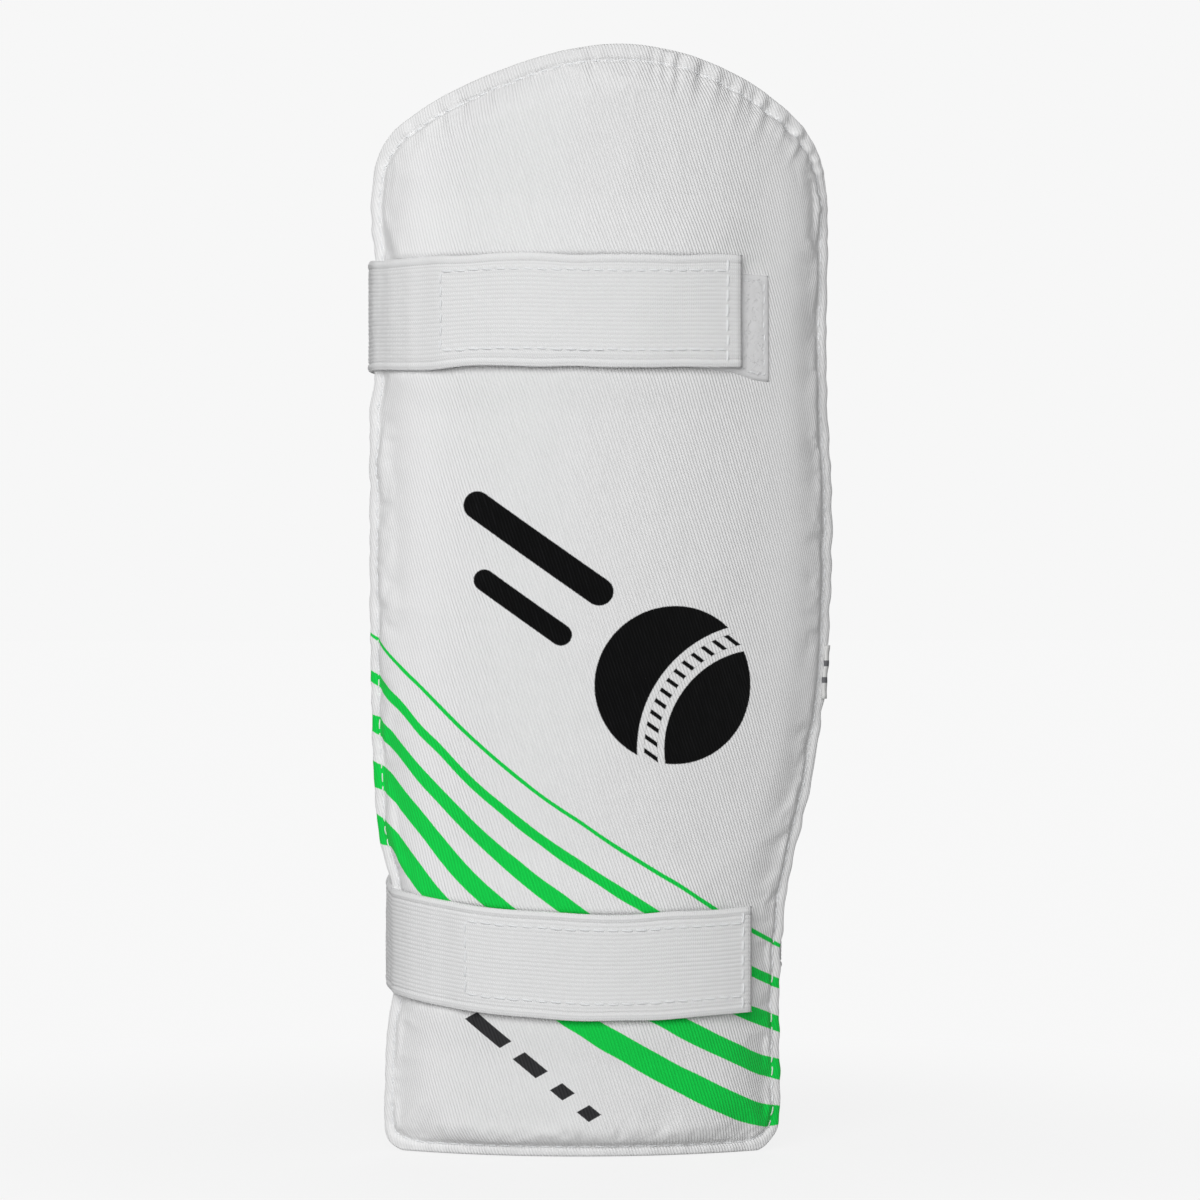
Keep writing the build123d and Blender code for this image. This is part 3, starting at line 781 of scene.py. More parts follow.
# ---------------------------------------------------------------- foam cores, inside the cover
def core(name, node, material, outer, inner):
    zr = np.linspace(6.5, TOPZ - 11.0, 74)
    u = np.linspace(0, 1, 34)
    inset = 6.6 + 3.0 * smoothstep(TOPZ - 70, TOPZ - 25, zr)
    lo, hi = s_left(zr) + inset, s_right(zr) - inset
    s = (lo[:, None] * (1 - u) + hi[:, None] * u).ravel()
    z = np.repeat(zr[:, None], len(u), axis=1).ravel()
    d, w = edge_distance(s, z)
    a, b = on_arc(s, outer(s, z, d, w), z), on_arc(s, inner(s, z, d, w), z)
    n = len(s)
    f = [tuple(q) for q in quads(len(zr), len(u))] + [tuple(q + n) for q in quads(len(zr), len(u), flip=True)]
    r = np.array(rim(len(zr), len(u)))
    f += [tuple(q) for q in np.column_stack([r, r + n, np.roll(r, -1) + n, np.roll(r, -1)])]
    o = mesh(name, row(np.vstack([a, b])), f, material=material)
    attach(o, "pad")
    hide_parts(node)
    return o


core("outer_foam_core", "outer_foam", plain("impact_foam", (0.84, 0.80, 0.66)),
     lambda s, z, d, w: np.maximum(front_r(s, z, d, w) - 1.6, 87.2), lambda s, z, d, w: np.full(len(s), 86.7))
core("inner_foam_core", "inner_foam", plain("soft_foam", (0.62, 0.62, 0.60)),
     lambda s, z, d, w: np.full(len(s), 86.3), lambda s, z, d, w: np.minimum(back_r(s, z, d, w) + 1.2, 85.8))

# ---------------------------------------------------------------- strap centre lines (same as the frame's)


def arm(r, deg):
    a = math.radians(deg)
    return (r * math.sin(a), -r * math.cos(a))


def strap_line(edge_x, anchor, rear, edge_pts, end, start, press):
    c, rc, ra = edge_x - HALF, STRAP_R + HALF, 80.0 - 0.15 - HALF
    pts = [arm(ra, anchor + k * 4.0) for k in range(4)]
    ax, ay = arm(ra, anchor + 12.0)
    k = -c / 61.1
    pts += [(ax + 4.2, ay + 5.2), (57.0 * k - 1.0, -44.0), (51.0 * k, rear - 16.0),
            (31.0 * k, rear - 4.0), (0.0, rear), (-31.0 * k, rear - 4.0),
            (-51.0 * k, rear - 16.0), (c + 2.0, -45.0), (c + 0.12, -54.0), (c, -62.0)]
    pts += edge_pts
    d = start
    while d < end - 2.0:
        pts.append(arm(rc, d))
        d += 4.0
    pts.append(arm(rc, end))
    line = even(catmull(pts, 24), 0.25)
    # the cloth link sits snug on the cover between the edge and the closure
    deg = np.degrees(np.arctan2(line[:, 0], -line[:, 1]))
    r = np.hypot(line[:, 0], line[:, 1])
    frontal = (line[:, 1] < -66) & (line[:, 0] < 0) & (np.arange(len(line)) > len(line) * 0.4)
    down = press * smoothstep(-41.5, -37.5, deg) * (1 - smoothstep(start + 0.5, start + 6.5, deg)) * frontal
    line *= ((r - down) / r)[:, None]
    return line


UP_LINE = strap_line(-60.35, 26.0, -14.0, [(-60.65, -69.0), (-59.7, -73.2), (-57.2, -77.7), (-53.1, -82.0)], UP_END, UP_PEEL - 4.0, 1.5)
LO_LINE = strap_line(LO_EDGE, 16.0, -25.0, [(LO_EDGE - 0.72, -72.0), (LO_EDGE - 0.05, -76.6), (LO_EDGE + 3.65, -82.0), (LO_EDGE + 9.05, -86.4)], LO_END, LO_PEEL - 4.0, 1.5)
LO_FRONT = np.array([(-64.0, 57.9), (-60.0, 57.1), (-46.0, 54.4), (-28.0, 52.0), (-8.0, 50.8), (10.0, 50.7), (26.0, 51.4), (42.0, 52.5), (64.0, 54.0)])
LO_BACK = np.array([(-64.0, 57.9), (-50.0, 59.4), (-25.0, 60.6), (0.0, 61.0), (25.0, 60.6), (50.0, 59.6), (64.0, 59.0)])


def mids(line, upper):
    n = len(line)
    if upper:
        base = np.full(n, (UP_Z[0] + UP_Z[1]) / 2)
        return base + 0.25 * Noise1(40, 61)(np.arange(n) * 0.25)
    front, back = np.interp(line[:, 0], LO_FRONT[:, 0], LO_FRONT[:, 1]), np.interp(line[:, 0], LO_BACK[:, 0], LO_BACK[:, 1])
    w = smoothstep(44, 78, -line[:, 1]) * (line[:, 0] < 0) * (np.arange(n) > n * 0.4)
    w = np.where((np.arange(n) > n * 0.6) & (line[:, 1] < -78), 1.0, w)
    m = front * w + back * (1 - w)
    k = np.ones(41) / 41
    return np.convolve(np.pad(m, 20, mode="edge"), k, mode="valid") + 0.2 * Noise1(37, 62)(np.arange(n) * 0.25)


def normals2(line):
    t = np.gradient(line, axis=0)
    t /= np.linalg.norm(t, axis=1)[:, None]
    return np.column_stack([t[:, 1], -t[:, 0]]), t


RIBS = 22


def section(width):
    # heights across the elastic: ribs between two corded selvedges
    half = width / 2
    pitch = 25.0 / RIBS
    v = np.concatenate([np.linspace(-half, -half + 0.5, 5)[:-1], np.linspace(-half + 0.5, half - 0.5, 118), np.linspace(half - 0.5, half, 5)[1:]])
    inner = smoothstep(half - 2.1, half - 2.5, np.abs(v))
    rib = 0.15 * (np.abs(np.cos(math.pi * v / pitch)) ** 0.7 - 0.6) * inner
    e = half - np.abs(v)
    cord = 0.16 * np.exp(-((e - 1.25) / 0.55) ** 2) - 0.30 * np.exp(-((e - 2.25) / 0.24) ** 2) - 0.14 * np.exp(-((e - 0.45) / 0.2) ** 2)
    t = rib + cord
    round_ = np.sqrt(np.clip(1 - (1 - np.clip(e / 0.6, 0, 1)) ** 2, 0, 1))
    return v, (HALF + t) * round_, round_


EL = elastic_material()
STRAPS = {}


def band(name, line, mid, i0, i1, width, fold=None, cap0=False, cap1=False, seed=1):
    v, h, rnd = section(width)
    n_rows = max(3, int((i1 - i0) * 0.25 / 1.15))
    ids = np.linspace(i0, i1, n_rows + 1)
    idx = np.arange(len(line))
    x, y, m = (np.interp(ids, idx, c) for c in (line[:, 0], line[:, 1], mid))
    nor, tan = normals2(line)
    nx, ny = np.interp(ids, idx, nor[:, 0]), np.interp(ids, idx, nor[:, 1])
    along = ids * 0.25
    wav = 0.10 * Noise2(26, 71 + seed)(along[:, None], v[None, :]) + 0.035 * Noise2(5, 72 + seed)(along[:, None], v[None, :])
    bow_ = 1 + 0.010 * Noise1(23, 73 + seed)(along)
    pts, mm = [], []
    nv = len(v)
    for r in range(len(ids)):
        top, bot = h.copy(), -(h * 0.92)
        shrink = 1.0
        if fold is not None:
            left = (i1 - ids[r]) * 0.25
            if left < fold:
                k = float(smoothstep(0, 0.9, fold - left))
                bot = bot - 1.15 * k * rnd
            if left < 1.2:
                # rounded fold at the very end
                q = math.sqrt(max(0.0, 1 - (1 - left / 1.2) ** 2))
                mid_h = (top + bot) / 2
                top, bot = mid_h + (top - mid_h) * max(q, 0.12), mid_h + (bot - mid_h) * max(q, 0.12)
        zc = m[r] + v * bow_[r]
        off_t, off_b = top + wav[r] * rnd, bot + wav[r] * rnd
        pts.append(np.column_stack([x[r] + nx[r] * off_t, y[r] + ny[r] * off_t, zc]))
        pts.append(np.column_stack([x[r] + nx[r] * off_b, y[r] + ny[r] * off_b, zc]))
        mm.append(np.column_stack([np.full(nv, along[r]), v]))
        mm.append(np.column_stack([np.full(nv, along[r] + 0.0), v + 0.7]))
    pts, mm = np.vstack(pts), np.vstack(mm)
    loop = np.concatenate([np.arange(nv), np.arange(nv)[::-1] + nv])
    faces = []
    L = 2 * nv
    for r in range(len(ids) - 1):
        a = loop + r * L
        b = loop + (r + 1) * L
        faces.append(np.column_stack([a, b, np.roll(b, -1), np.roll(a, -1)]))
    faces = np.vstack(faces)
    extra = []
    for on, r in ((cap0, 0), (cap1, len(ids) - 1)):
        if on:
            o = r * L
            q = np.column_stack([o + np.arange(nv - 1), o + np.arange(1, nv), o + nv + np.arange(1, nv), o + nv + np.arange(nv - 1)])
            extra.append(q if r == 0 else q[:, ::-1])
    if extra:
        faces = np.vstack([faces] + extra)
    o = mesh(name, row(pts), faces, mm=mm, material=EL)
    return o


def front_index(line, deg):
    a = np.degrees(np.arctan2(line[:, 0], -line[:, 1]))
    ok = (np.arange(len(line)) > len(line) * 0.4) & (line[:, 1] < -60) & (line[:, 0] < 60) & (a >= deg)
    return int(np.argmax(ok))


# ---------------------------------------------------------------- thread
THREAD_MAT = plain("thread", (0.80, 0.81, 0.82), 0.6, 0.1)


def stitches(name, path, nor, body, node, pitch=3.7, gap=0.75, r=0.23, dip=0.42, seed=0, jitter=0.12):
    """A row of separate stitches along a line that lies on the cloth."""
    g = np.random.default_rng(900 + seed)
    seg = np.linalg.norm(np.diff(path, axis=0), axis=1)
    s = np.concatenate([[0], np.cumsum(seg)])
    count = max(1, int(round(s[-1] / pitch)))
    pitch = s[-1] / count
    K, M = 8, 7
    verts, faces = [], []
    for c in range(count):
        a = c * pitch + gap / 2 + g.uniform(-jitter, jitter)
        b = (c + 1) * pitch - gap / 2 + g.uniform(-jitter, jitter)
        t = np.linspace(0, 1, K)
        q = a + (b - a) * t
        p = np.column_stack([np.interp(q, s, path[:, k]) for k in range(3)])
        n = np.column_stack([np.interp(q, s, nor[:, k]) for k in range(3)])
        n /= np.linalg.norm(n, axis=1)[:, None]
        tan = np.gradient(p, axis=0)
        tan /= np.linalg.norm(tan, axis=1)[:, None]
        side = np.cross(tan, n)
        side /= np.linalg.norm(side, axis=1)[:, None]
        lift = (r * 0.75) - dip * (1 - np.clip(np.sin(math.pi * t), 0, 1) ** 0.45)
        slant = g.uniform(-0.10, 0.10) + 0.16 * (t - 0.5)
        mid = p + n * lift[:, None] + side * slant[:, None] if np.ndim(slant) else p + n * lift[:, None]
        rad = r * (0.75 + 0.25 * np.sin(math.pi * t) ** 0.5)
        b0 = len(verts)
        for k in range(K):
            for m in range(M):
                an = 2 * math.pi * m / M
                verts.append(mid[k] + (n[k] * math.cos(an) + side[k] * math.sin(an)) * rad[k])
        for k in range(K - 1):
            for m in range(M):
                m2 = (m + 1) % M
                faces.append((b0 + k * M + m, b0 + k * M + m2, b0 + (k + 1) * M + m2, b0 + (k + 1) * M + m))
        faces.append(tuple(b0 + m for m in range(M))[::-1])
        faces.append(tuple(b0 + (K - 1) * M + m for m in range(M)))
    o = mesh(name, row(verts), faces, material=THREAD_MAT)
    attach(o, body)
    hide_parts(node)
    return o


# round the hem, just outside the raised panel
def seam_line(d0, z0):
    zs = np.linspace(z0, TOPZ - d0, 1400)
    L = np.column_stack([s_left(zs) + d0, zs])
    R_ = np.column_stack([s_right(zs) - d0, zs])
    pts = np.vstack([L, R_[::-1]])
    # keep the points that really are d0 from the edge, then close along the bottom
    dd, _ = edge_distance(pts[:, 0], pts[:, 1])
    q = []
    nrm_ = []
    e = edge
    t = np.gradient(e, axis=0)
    t /= np.linalg.norm(t, axis=1)[:, None]
    dl = d0 + 1.0 * smoothstep(255, 278, e[:, 1])
    q = e + np.column_stack([t[:, 1], -t[:, 0]]) * dl[:, None]
    dd, _ = edge_distance(q[:, 0], q[:, 1])
    q = q[(dd > dl - 0.12) & (q[:, 1] > z0)]
    corner = np.vstack([[q[-1][0] - 0.8, z0 + 0.4], [q[0][0] + 0.8, z0 + 0.4]])
    q = np.vstack([q, np.linspace((q[-1][0] - 1.0, z0), (q[0][0] + 1.0, z0), 200), q[:1]])
    q = even(q, 0.5)
    k = 5
    for c in range(2):
        w = np.pad(q[:, c], k, mode="wrap")
        q[:, c] = np.convolve(w, np.ones(2 * k + 1) / (2 * k + 1), mode="valid")
    return q


seam = seam_line(2.95, 2.75)
sp, sn = drop(seam[:, 0], seam[:, 1])
stitches("hem_stitches", sp, sn, "pad", "perimeter_stitch", pitch=3.6, r=0.19, dip=0.42, seed=1)

# ---------------------------------------------------------------- straps
HOOK = plain("hook_tape", (0.74, 0.74, 0.74), 0.45)
LOOPM = plain("loop_pile", (0.73, 0.73, 0.735), 0.95, 0.3)


def surf_band(line, nor, mid, i, v, off):
    x, y = np.interp(i, np.arange(len(line)), line[:, 0]), np.interp(i, np.arange(len(line)), line[:, 1])
    nx, ny = np.interp(i, np.arange(len(line)), nor[:, 0]), np.interp(i, np.arange(len(line)), nor[:, 1])
    m = np.interp(i, np.arange(len(line)), mid)
    p = np.column_stack([x + nx * off, y + ny * off, m + v])
    return p, np.column_stack([nx, ny, np.zeros_like(nx)])


def tube_rows(curves, r, sides=4):
    # one mesh of many thin bent tubes; curves is (n, k, 3)
    n, k, _ = curves.shape
    t = np.gradient(curves, axis=1)
    t /= np.linalg.norm(t, axis=2)[:, :, None] + 1e-9
    ref = np.broadcast_to(np.array([0.31, 0.17, 0.93]), t.shape)
    a = np.cross(t, ref)
    a /= np.linalg.norm(a, axis=2)[:, :, None] + 1e-9
    b = np.cross(t, a)
    ang = np.arange(sides) * 2 * math.pi / sides
    v = curves[:, :, None, :] + r * (a[:, :, None, :] * np.cos(ang)[None, None, :, None] + b[:, :, None, :] * np.sin(ang)[None, None, :, None])
    idx = np.arange(n * k * sides).reshape(n, k, sides)
    f = np.stack([idx[:, :-1, :], np.roll(idx, -1, 2)[:, :-1, :], np.roll(idx, -1, 2)[:, 1:, :], idx[:, 1:, :]], -1).reshape(-1, 4)
    return v.reshape(-1, 3), f


def make_strap(who, line, upper, width, peel, box_l, box_r, end, loop, anchor0):
    mid = mids(line, upper)
    nor, tan = normals2(line)
    last = len(line) - 1
    split = front_index(line, peel)
    swing = front_index(line, -39.4 if upper else -36.0)
    meet = (swing + split) // 2 + 6
    root, tipb = who + "_strap_root", who + "_strap_end"
    # the loop behind the arm and the turn over the edge, down to the middle of the cloth link
    a = band(who + "_strap_band", line, mid, 0, meet, width, cap0=True, seed=1 if upper else 11)
    px, py = line[swing]
    st, en = row([(px - 0.3, py + 5.0, 0)])[0], row([(px - 1.7, py - 1.6, 0)])[0]
    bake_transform(a)
    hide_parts(who + "_strap_back", who + "_strap_front")
    b = band(who + "_strap_closing_end", line, mid, meet, last, width, fold=4.4, cap1=True, seed=1 if upper else 11)
    qx, qy = line[split]
    tx, ty = tan[split]
    st, en = row([(qx - 2.4 * tx, qy - 2.4 * ty, 0)])[0], row([(qx + 2.0 * tx, qy + 2.0 * ty, 0)])[0]
    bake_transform(b)
    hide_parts(who + "_strap_tip")
    # box stitching on the closing end
    half = width / 2
    il, ir = front_index(line, box_l), front_index(line, box_r)
    path = []
    for (i0, v0), (i1, v1) in (((ir, half - 4.2), (il, half - 4.2)), ((il, half - 4.2), (il, -half + 4.6)),
                               ((il, -half + 4.6), (ir, -half + 4.6)), ((ir, -half + 0.9), (ir, half - 0.9))):
        n = max(12, int(math.hypot((i1 - i0) * 0.25, v1 - v0) / 0.5))
        path.append((np.linspace(i0, i1, n), np.linspace(v0, v1, n)))
    groups = []
    for k, (ii, vv) in enumerate(path):
        p, n = surf_band(line, nor, mid, ii, vv, HALF + 0.03)
        groups.append((p, n))
    objs = []
    for k, (p, n) in enumerate(groups):
        objs.append(stitches(f"{who}_box_stitch_{k}", p, n, tipb, who + "_box_stitch", pitch=3.75, r=0.27, dip=0.46, seed=10 + k))
    # hook patch: tape with rows of bent hooks
    i0, i1 = il - 2, last - 20
    nu, nv = 60, 16
    ii, vv = np.linspace(i0, i1, nu), np.linspace(-half + 2.0, half - 2.0, nv)
    I, V = np.meshgrid(ii, vv, indexing="ij")
    top, nn = surf_band(line, nor, mid, I.ravel(), V.ravel(), -HALF - 0.06)
    bot, _ = surf_band(line, nor, mid, I.ravel(), V.ravel(), -HALF - 0.42)
    n = len(top)
    f = [tuple(q[::-1]) for q in quads(nu, nv)] + [tuple(q[::-1] + n) for q in quads(nu, nv, flip=True)]
    r_ = np.array(rim(nu, nv))
    f += [tuple(q) for q in np.column_stack([r_, np.roll(r_, -1), np.roll(r_, -1) + n, r_ + n])]
    hi, hv = np.meshgrid(np.arange(i0 + 5, i1 - 3, 6.0), np.arange(-half + 2.8, half - 2.7, 1.45), indexing="ij")
    hi, hv = hi.ravel() + rng.uniform(-0.4, 0.4, hi.size), hv.ravel()
    P, Nn = surf_band(line, nor, mid, hi, hv, -HALF - 0.40)
    Tn = np.column_stack([np.interp(hi, np.arange(len(line)), tan[:, 0]), np.interp(hi, np.arange(len(line)), tan[:, 1]), np.zeros(len(hi))])
    sign = np.where((np.round(hv / 1.45).astype(int) % 2) == 0, 1.0, -1.0)[:, None]
    shape = [(0.0, 0.0), (0.22, -0.02), (0.42, 0.06), (0.52, 0.22), (0.44, 0.38), (0.30, 0.42)]
    curves = np.stack([P - Nn * a_ + Tn * sign * b_ for a_, b_ in shape], 1)
    hv_, hf_ = tube_rows(curves, 0.09, 4)
    allv = np.vstack([top, bot, hv_])
    o = mesh(who + "_hook_tape", row(allv), f + [tuple(q) for q in hf_ + 2 * n], material=HOOK)
    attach(o, tipb)
    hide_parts(who + "_hook_patch")
    # loop patch on the cover: brushed pile
    a0, a1, z0, z1 = loop
    nu, nv = 110, 36
    S_, Q_ = np.meshgrid(np.radians(np.linspace(a0, a1, nu)), np.linspace(0, 1, nv), indexing="ij")

    def low_at(deg):
        return z0 + ((3.4 * (1 - smoothstep(5.0, a1 + 4, deg)) - 1.2 * smoothstep(a1 - 7, a1 - 2, deg)) if upper else 0.0)

    def high_at(deg):
        return z1 + (2.0 * (1 - smoothstep(5.0, a1, deg)) if upper else 0.0)

    Zl, Zh = low_at(np.degrees(S_)), high_at(np.degrees(S_))
    Z_ = Zl * (1 - Q_) + Zh * Q_
    fs, fz = S_.ravel() * RREF, Z_.ravel()
    base_r = np.maximum(front_r(fs, fz, *edge_distance(fs, fz)), 94.9)
    u = np.minimum(np.minimum(S_ - S_.min(), S_.max() - S_).ravel() * 96, np.minimum(Z_ - Zl, Zh - Z_).ravel())
    dome = np.sqrt(np.clip(1 - (1 - np.clip(u / 0.9, 0, 1)) ** 2, 0, 1))
    pile = 0.05 * Noise2(1.6, 81)(fs, fz) + 0.05 * Noise2(4.0, 82)(fs, fz)
    sew = 0.22 * np.exp(-((u - 1.75) / 0.45) ** 2)
    thick = (0.78 + np.clip(pile, -0.35, 0.3) - sew) * dome
    def patch_pt(r):
        return np.column_stack([r * np.sin(S_.ravel()), -r * np.cos(S_.ravel()), fz])
    top = patch_pt(base_r + 0.05 + thick)
    bot = patch_pt(base_r - 0.35)
    n = len(top)
    f = [tuple(q[::-1]) for q in quads(nu, nv)] + [tuple(q[::-1] + n) for q in quads(nu, nv, flip=True)]
    r_ = np.array(rim(nu, nv))
    f += [tuple(q) for q in np.column_stack([r_, np.roll(r_, -1), np.roll(r_, -1) + n, r_ + n])]
    g = np.random.default_rng(400 + (0 if upper else 1))
    m = 5200 if upper else 3800
    ang, hq = np.radians(g.uniform(a0 + 1.3, a1 - 1.3, m)), g.uniform(0.04, 0.96, m)
    hz = low_at(np.degrees(ang)) * (1 - hq) + high_at(np.degrees(ang)) * hq
    th = g.uniform(0, math.pi, m)
    size = g.uniform(0.22, 0.42, m)
    rr = np.maximum(front_r(ang * RREF, hz, *edge_distance(ang * RREF, hz)), 94.9) + 0.74
    c = []
    for k in range(6):
        q = k / 5.0
        da = (q - 0.5) * 2 * size * np.cos(th)
        dz = (q - 0.5) * 2 * size * np.sin(th)
        hh = 0.17 * np.sin(math.pi * q)
        A = ang + da / 96
        c.append(np.column_stack([(rr + hh) * np.sin(A), -(rr + hh) * np.cos(A), hz + dz]))
    lv, lf = tube_rows(np.stack(c, 1), 0.05, 3)
    o = mesh(who + "_loop_pile", row(np.vstack([top, bot, lv])), f + [tuple(q) for q in lf + 2 * n], material=LOOPM)
    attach(o, "pad")
    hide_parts(who + "_loop_patch")
    # its border stitching
    inset_a, inset_z = math.degrees(1.8 / 96), 1.8
    corners = [(a0 + inset_a, 0.0), (a1 - inset_a, 0.0), (a1 - inset_a, 1.0), (a0 + inset_a, 1.0), (a0 + inset_a, 0.0)]
    pp = []
    for (x0, y0), (x1, y1) in zip(corners, corners[1:]):
        k = int(max(abs(x1 - x0) * 1.7, abs(y1 - y0) * 24) / 0.5)
        pp.append(np.column_stack([np.linspace(x0, x1, k, endpoint=False), np.linspace(y0, y1, k, endpoint=False)]))
    pp = np.vstack(pp)
    pp[:, 1] = (low_at(pp[:, 0]) + inset_z) * (1 - pp[:, 1]) + (high_at(pp[:, 0]) - inset_z) * pp[:, 1]
    ra = np.radians(pp[:, 0])
    rr = np.maximum(front_r(ra * RREF, pp[:, 1], *edge_distance(ra * RREF, pp[:, 1])), 94.9) + 0.52
    path = np.column_stack([rr * np.sin(ra), -rr * np.cos(ra), pp[:, 1]])
    nrm2 = np.column_stack([np.sin(ra), -np.cos(ra), np.zeros(len(ra))])
    stitches(who + "_loop_stitches", path, nrm2, "pad", who + "_loop_stitch", pitch=3.4, r=0.2, dip=0.35, seed=30 + upper)
    # stitching that holds the strap's other end to the lining
    ia, ib = 6, 54
    p = []
    vv = half - 2.8
    for (i0, v0), (i1, v1) in (((ia, -vv), (ib, -vv)), ((ib, -vv), (ib, vv)), ((ib, vv), (ia, vv)), ((ia, vv), (ia, -vv))):
        k = max(10, int(math.hypot((i1 - i0) * 0.25, v1 - v0) / 0.5))
        p.append(np.column_stack([np.linspace(i0, i1, k, endpoint=False), np.linspace(v0, v1, k, endpoint=False)]))
    p = np.vstack(p)
    pts, n3 = surf_band(line, nor, mid, p[:, 0], p[:, 1], -HALF - 0.03)
    ndir = surf_band(line, nor, mid, p[:, 0], p[:, 1], 0)[1]
    inward = ndir if ANCHOR_SIGN > 0 else -ndir
    pts = surf_band(line, nor, mid, p[:, 0], p[:, 1], (HALF + 0.03) * ANCHOR_SIGN)[0]
    stitches(who + "_anchor_stitches", pts, inward, "pad", who + "_anchor_stitch", pitch=3.4, r=0.21, dip=0.4, seed=50 + upper)


# at the anchor the line runs left to right along the lining, so its left side faces away from the arm
ANCHOR_SIGN = -1.0
make_strap("upper", UP_LINE, True, UP_Z[1] - UP_Z[0], UP_PEEL, UP_BOX_L, UP_BOX_R, UP_END, UP_LOOP, 26.0)
make_strap("lower", LO_LINE, False, LO_W, LO_PEEL, LO_BOX_L, LO_BOX_R, LO_END, LO_LOOP, 16.0)

# ---------------------------------------------------------------- side label, blank
def label():
    z0, z1 = 120.9, 135.4
    zs = np.linspace(z0, z1, 16)
    prof = [(-2.2, 92.25), (-1.0, 92.15), (0.0, 91.75), (0.75, 90.9), (0.95, 90.2), (0.55, 90.0), (0.35, 90.6), (-0.3, 91.45), (-1.2, 91.75), (-2.2, 91.8)]
    pts, mm = [], []
    for z in zs:
        sr = float(s_right(z))
        for k, (ds, r) in enumerate(prof):
            wob = 0.12 * math.sin(z * 1.3 + k)
            pts.append(on_arc(np.array([sr + ds]), np.array([r + wob]), np.array([z]))[0])
            mm.append((ds, z))
    n = len(prof)
    f = []
    for i in range(len(zs) - 1):
        for k in range(n):
            k2 = (k + 1) % n
            f.append((i * n + k, i * n + k2, (i + 1) * n + k2, (i + 1) * n + k))
    f.append(tuple(range(n))[::-1])
    f.append(tuple((len(zs) - 1) * n + k for k in range(n)))
    m = Mat("label_cloth", 0.8)
    s, z = m.mm()
    bars = ((z - 126.0).abs() * -1.0 + 0.8).max((z - 130.5).abs() * -1.0 + 0.8)
    m.colour(m.mix(bars.ramp(-0.15, 0.15), (0.74, 0.74, 0.73), (0.16, 0.16, 0.17)))
    o = mesh("blank_side_tab", row(pts), f, mm=mm, material=m.m)
    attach(o, "pad")
    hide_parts("side_label")


label()

# ---------------------------------------------------------------- stage
fl = bpy.data.materials.new("floor")
fl.use_nodes = True
nt = fl.node_tree
bs = nt.nodes["Principled BSDF"]
bs.inputs["Base Color"].default_value = (0.97, 0.97, 0.97, 1)
bs.inputs["Roughness"].default_value = 1.0
bs.inputs["Specular IOR Level"].default_value = 0.0
em = nt.nodes.new("ShaderNodeEmission")
em.inputs[0].default_value = (1, 1, 1, 1)
cr = nt.nodes.new("ShaderNodeLightPath")
es = nt.nodes.new("ShaderNodeMapRange")
es.inputs[3].default_value, es.inputs[4].default_value = 0.31, 0.935
nt.links.new(cr.outputs["Is Camera Ray"], es.inputs[0])
nt.links.new(es.outputs[0], em.inputs[1])
mx = nt.nodes.new("ShaderNodeMixShader")
geo = nt.nodes.new("ShaderNodeNewGeometry")
ln_ = nt.nodes.new("ShaderNodeVectorMath")
ln_.operation = "LENGTH"
nt.links.new(geo.outputs["Position"], ln_.inputs[0])
far = nt.nodes.new("ShaderNodeMapRange")
far.interpolation_type = "SMOOTHSTEP"
nt.links.new(ln_.outputs["Value"], far.inputs[0])
far.inputs[1].default_value, far.inputs[2].default_value = 0.07, 0.30
far.inputs[3].default_value, far.inputs[4].default_value = 0.88, 1.0
nt.links.new(far.outputs[0], mx.inputs[0])
nt.links.new(bs.outputs[0], mx.inputs[1])
nt.links.new(em.outputs[0], mx.inputs[2])
nt.links.new(mx.outputs[0], nt.nodes["Material Output"].inputs[0])
bpy.ops.mesh.primitive_plane_add(size=30, location=(0, 0, -0.0004))
floor = bpy.context.object
floor.name = "floor"
floor.data.materials.append(fl)

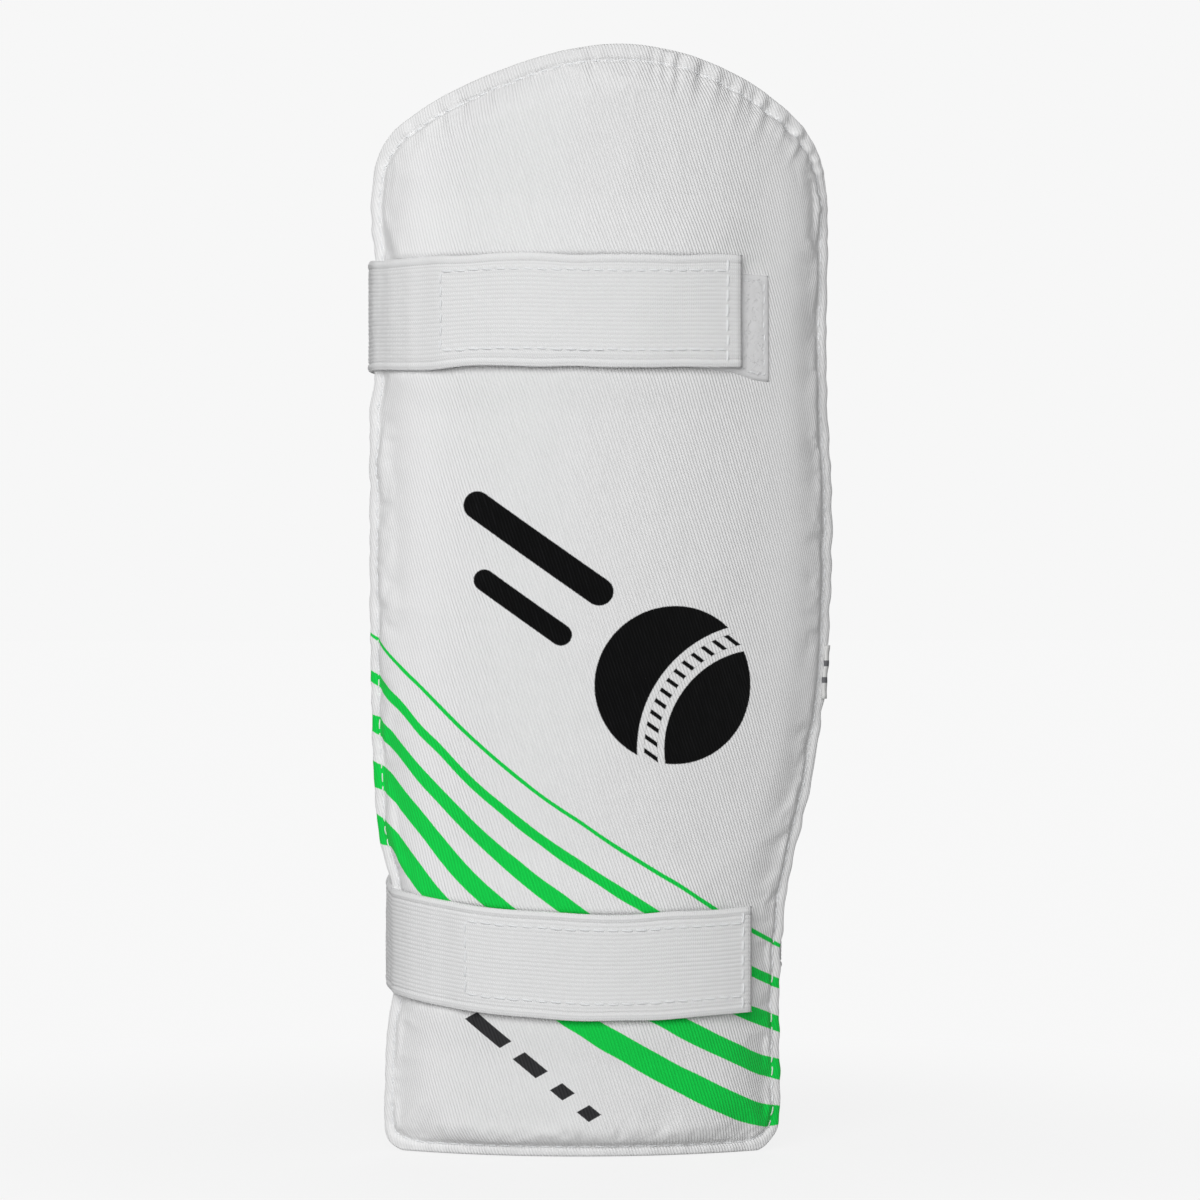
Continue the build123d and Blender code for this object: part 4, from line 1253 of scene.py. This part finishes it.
w = bpy.data.worlds.new("World")
bpy.context.scene.world = w
w.use_nodes = True
nt = w.node_tree
bg = nt.nodes["Background"]
tc = nt.nodes.new("ShaderNodeTexCoord")
sx = nt.nodes.new("ShaderNodeSeparateXYZ")
nt.links.new(tc.outputs["Generated"], sx.inputs[0])
mr = nt.nodes.new("ShaderNodeMapRange")
nt.links.new(sx.outputs[0], mr.inputs[0])
mr.inputs[1].default_value, mr.inputs[2].default_value = -1.0, 1.0
mr.inputs[3].default_value, mr.inputs[4].default_value = 0.40, 0.17
nt.links.new(mr.outputs[0], bg.inputs[1])
bg.inputs[0].default_value = (1, 1, 1, 1)
lp = nt.nodes.new("ShaderNodeLightPath")
b2 = nt.nodes.new("ShaderNodeBackground")
b2.inputs[0].default_value = (1, 1, 1, 1)
b2.inputs[1].default_value = 0.93
ms = nt.nodes.new("ShaderNodeMixShader")
nt.links.new(lp.outputs["Is Camera Ray"], ms.inputs[0])
nt.links.new(bg.outputs[0], ms.inputs[1])
nt.links.new(b2.outputs[0], ms.inputs[2])
nt.links.new(ms.outputs[0], nt.nodes["World Output"].inputs[0])


def area(name, loc, target, size, power):
    li = bpy.data.lights.new(name, "AREA")
    li.shape = "SQUARE"
    li.size = size
    li.energy = power
    o = bpy.data.objects.new(name, li)
    o.location = loc
    o.rotation_euler = (Vector(target) - Vector(loc)).to_track_quat("-Z", "Y").to_euler()
    bpy.context.scene.collection.objects.link(o)
    return o


area("key", (-0.36, -1.44, 0.62), (0, 0, 0.15), 1.0, 18.3)
area("back", (0.15, 1.55, 0.80), (0, 0, 0.15), 1.0, 8.5)

cam = bpy.data.cameras.new("camera")
cam.sensor_width = 36.0
cam.lens = 36.0 * 4444 / 1200
co = bpy.data.objects.new("camera", cam)
fwd = Vector((math.sin(math.radians(4)), math.cos(math.radians(4)), 0))
right = Vector((fwd.y, -fwd.x, 0))
axis = Vector((-OX / 1000, -OY / 1000, 0))
co.location = axis + right * 0.00513 - fwd * 1.270 + Vector((0, 0, 0.1477))
co.rotation_euler = fwd.to_track_quat("-Z", "Y").to_euler()
bpy.context.scene.collection.objects.link(co)
bpy.context.scene.camera = co
bpy.context.scene.view_settings.view_transform = "Standard"
bpy.context.scene.view_settings.look = "None"
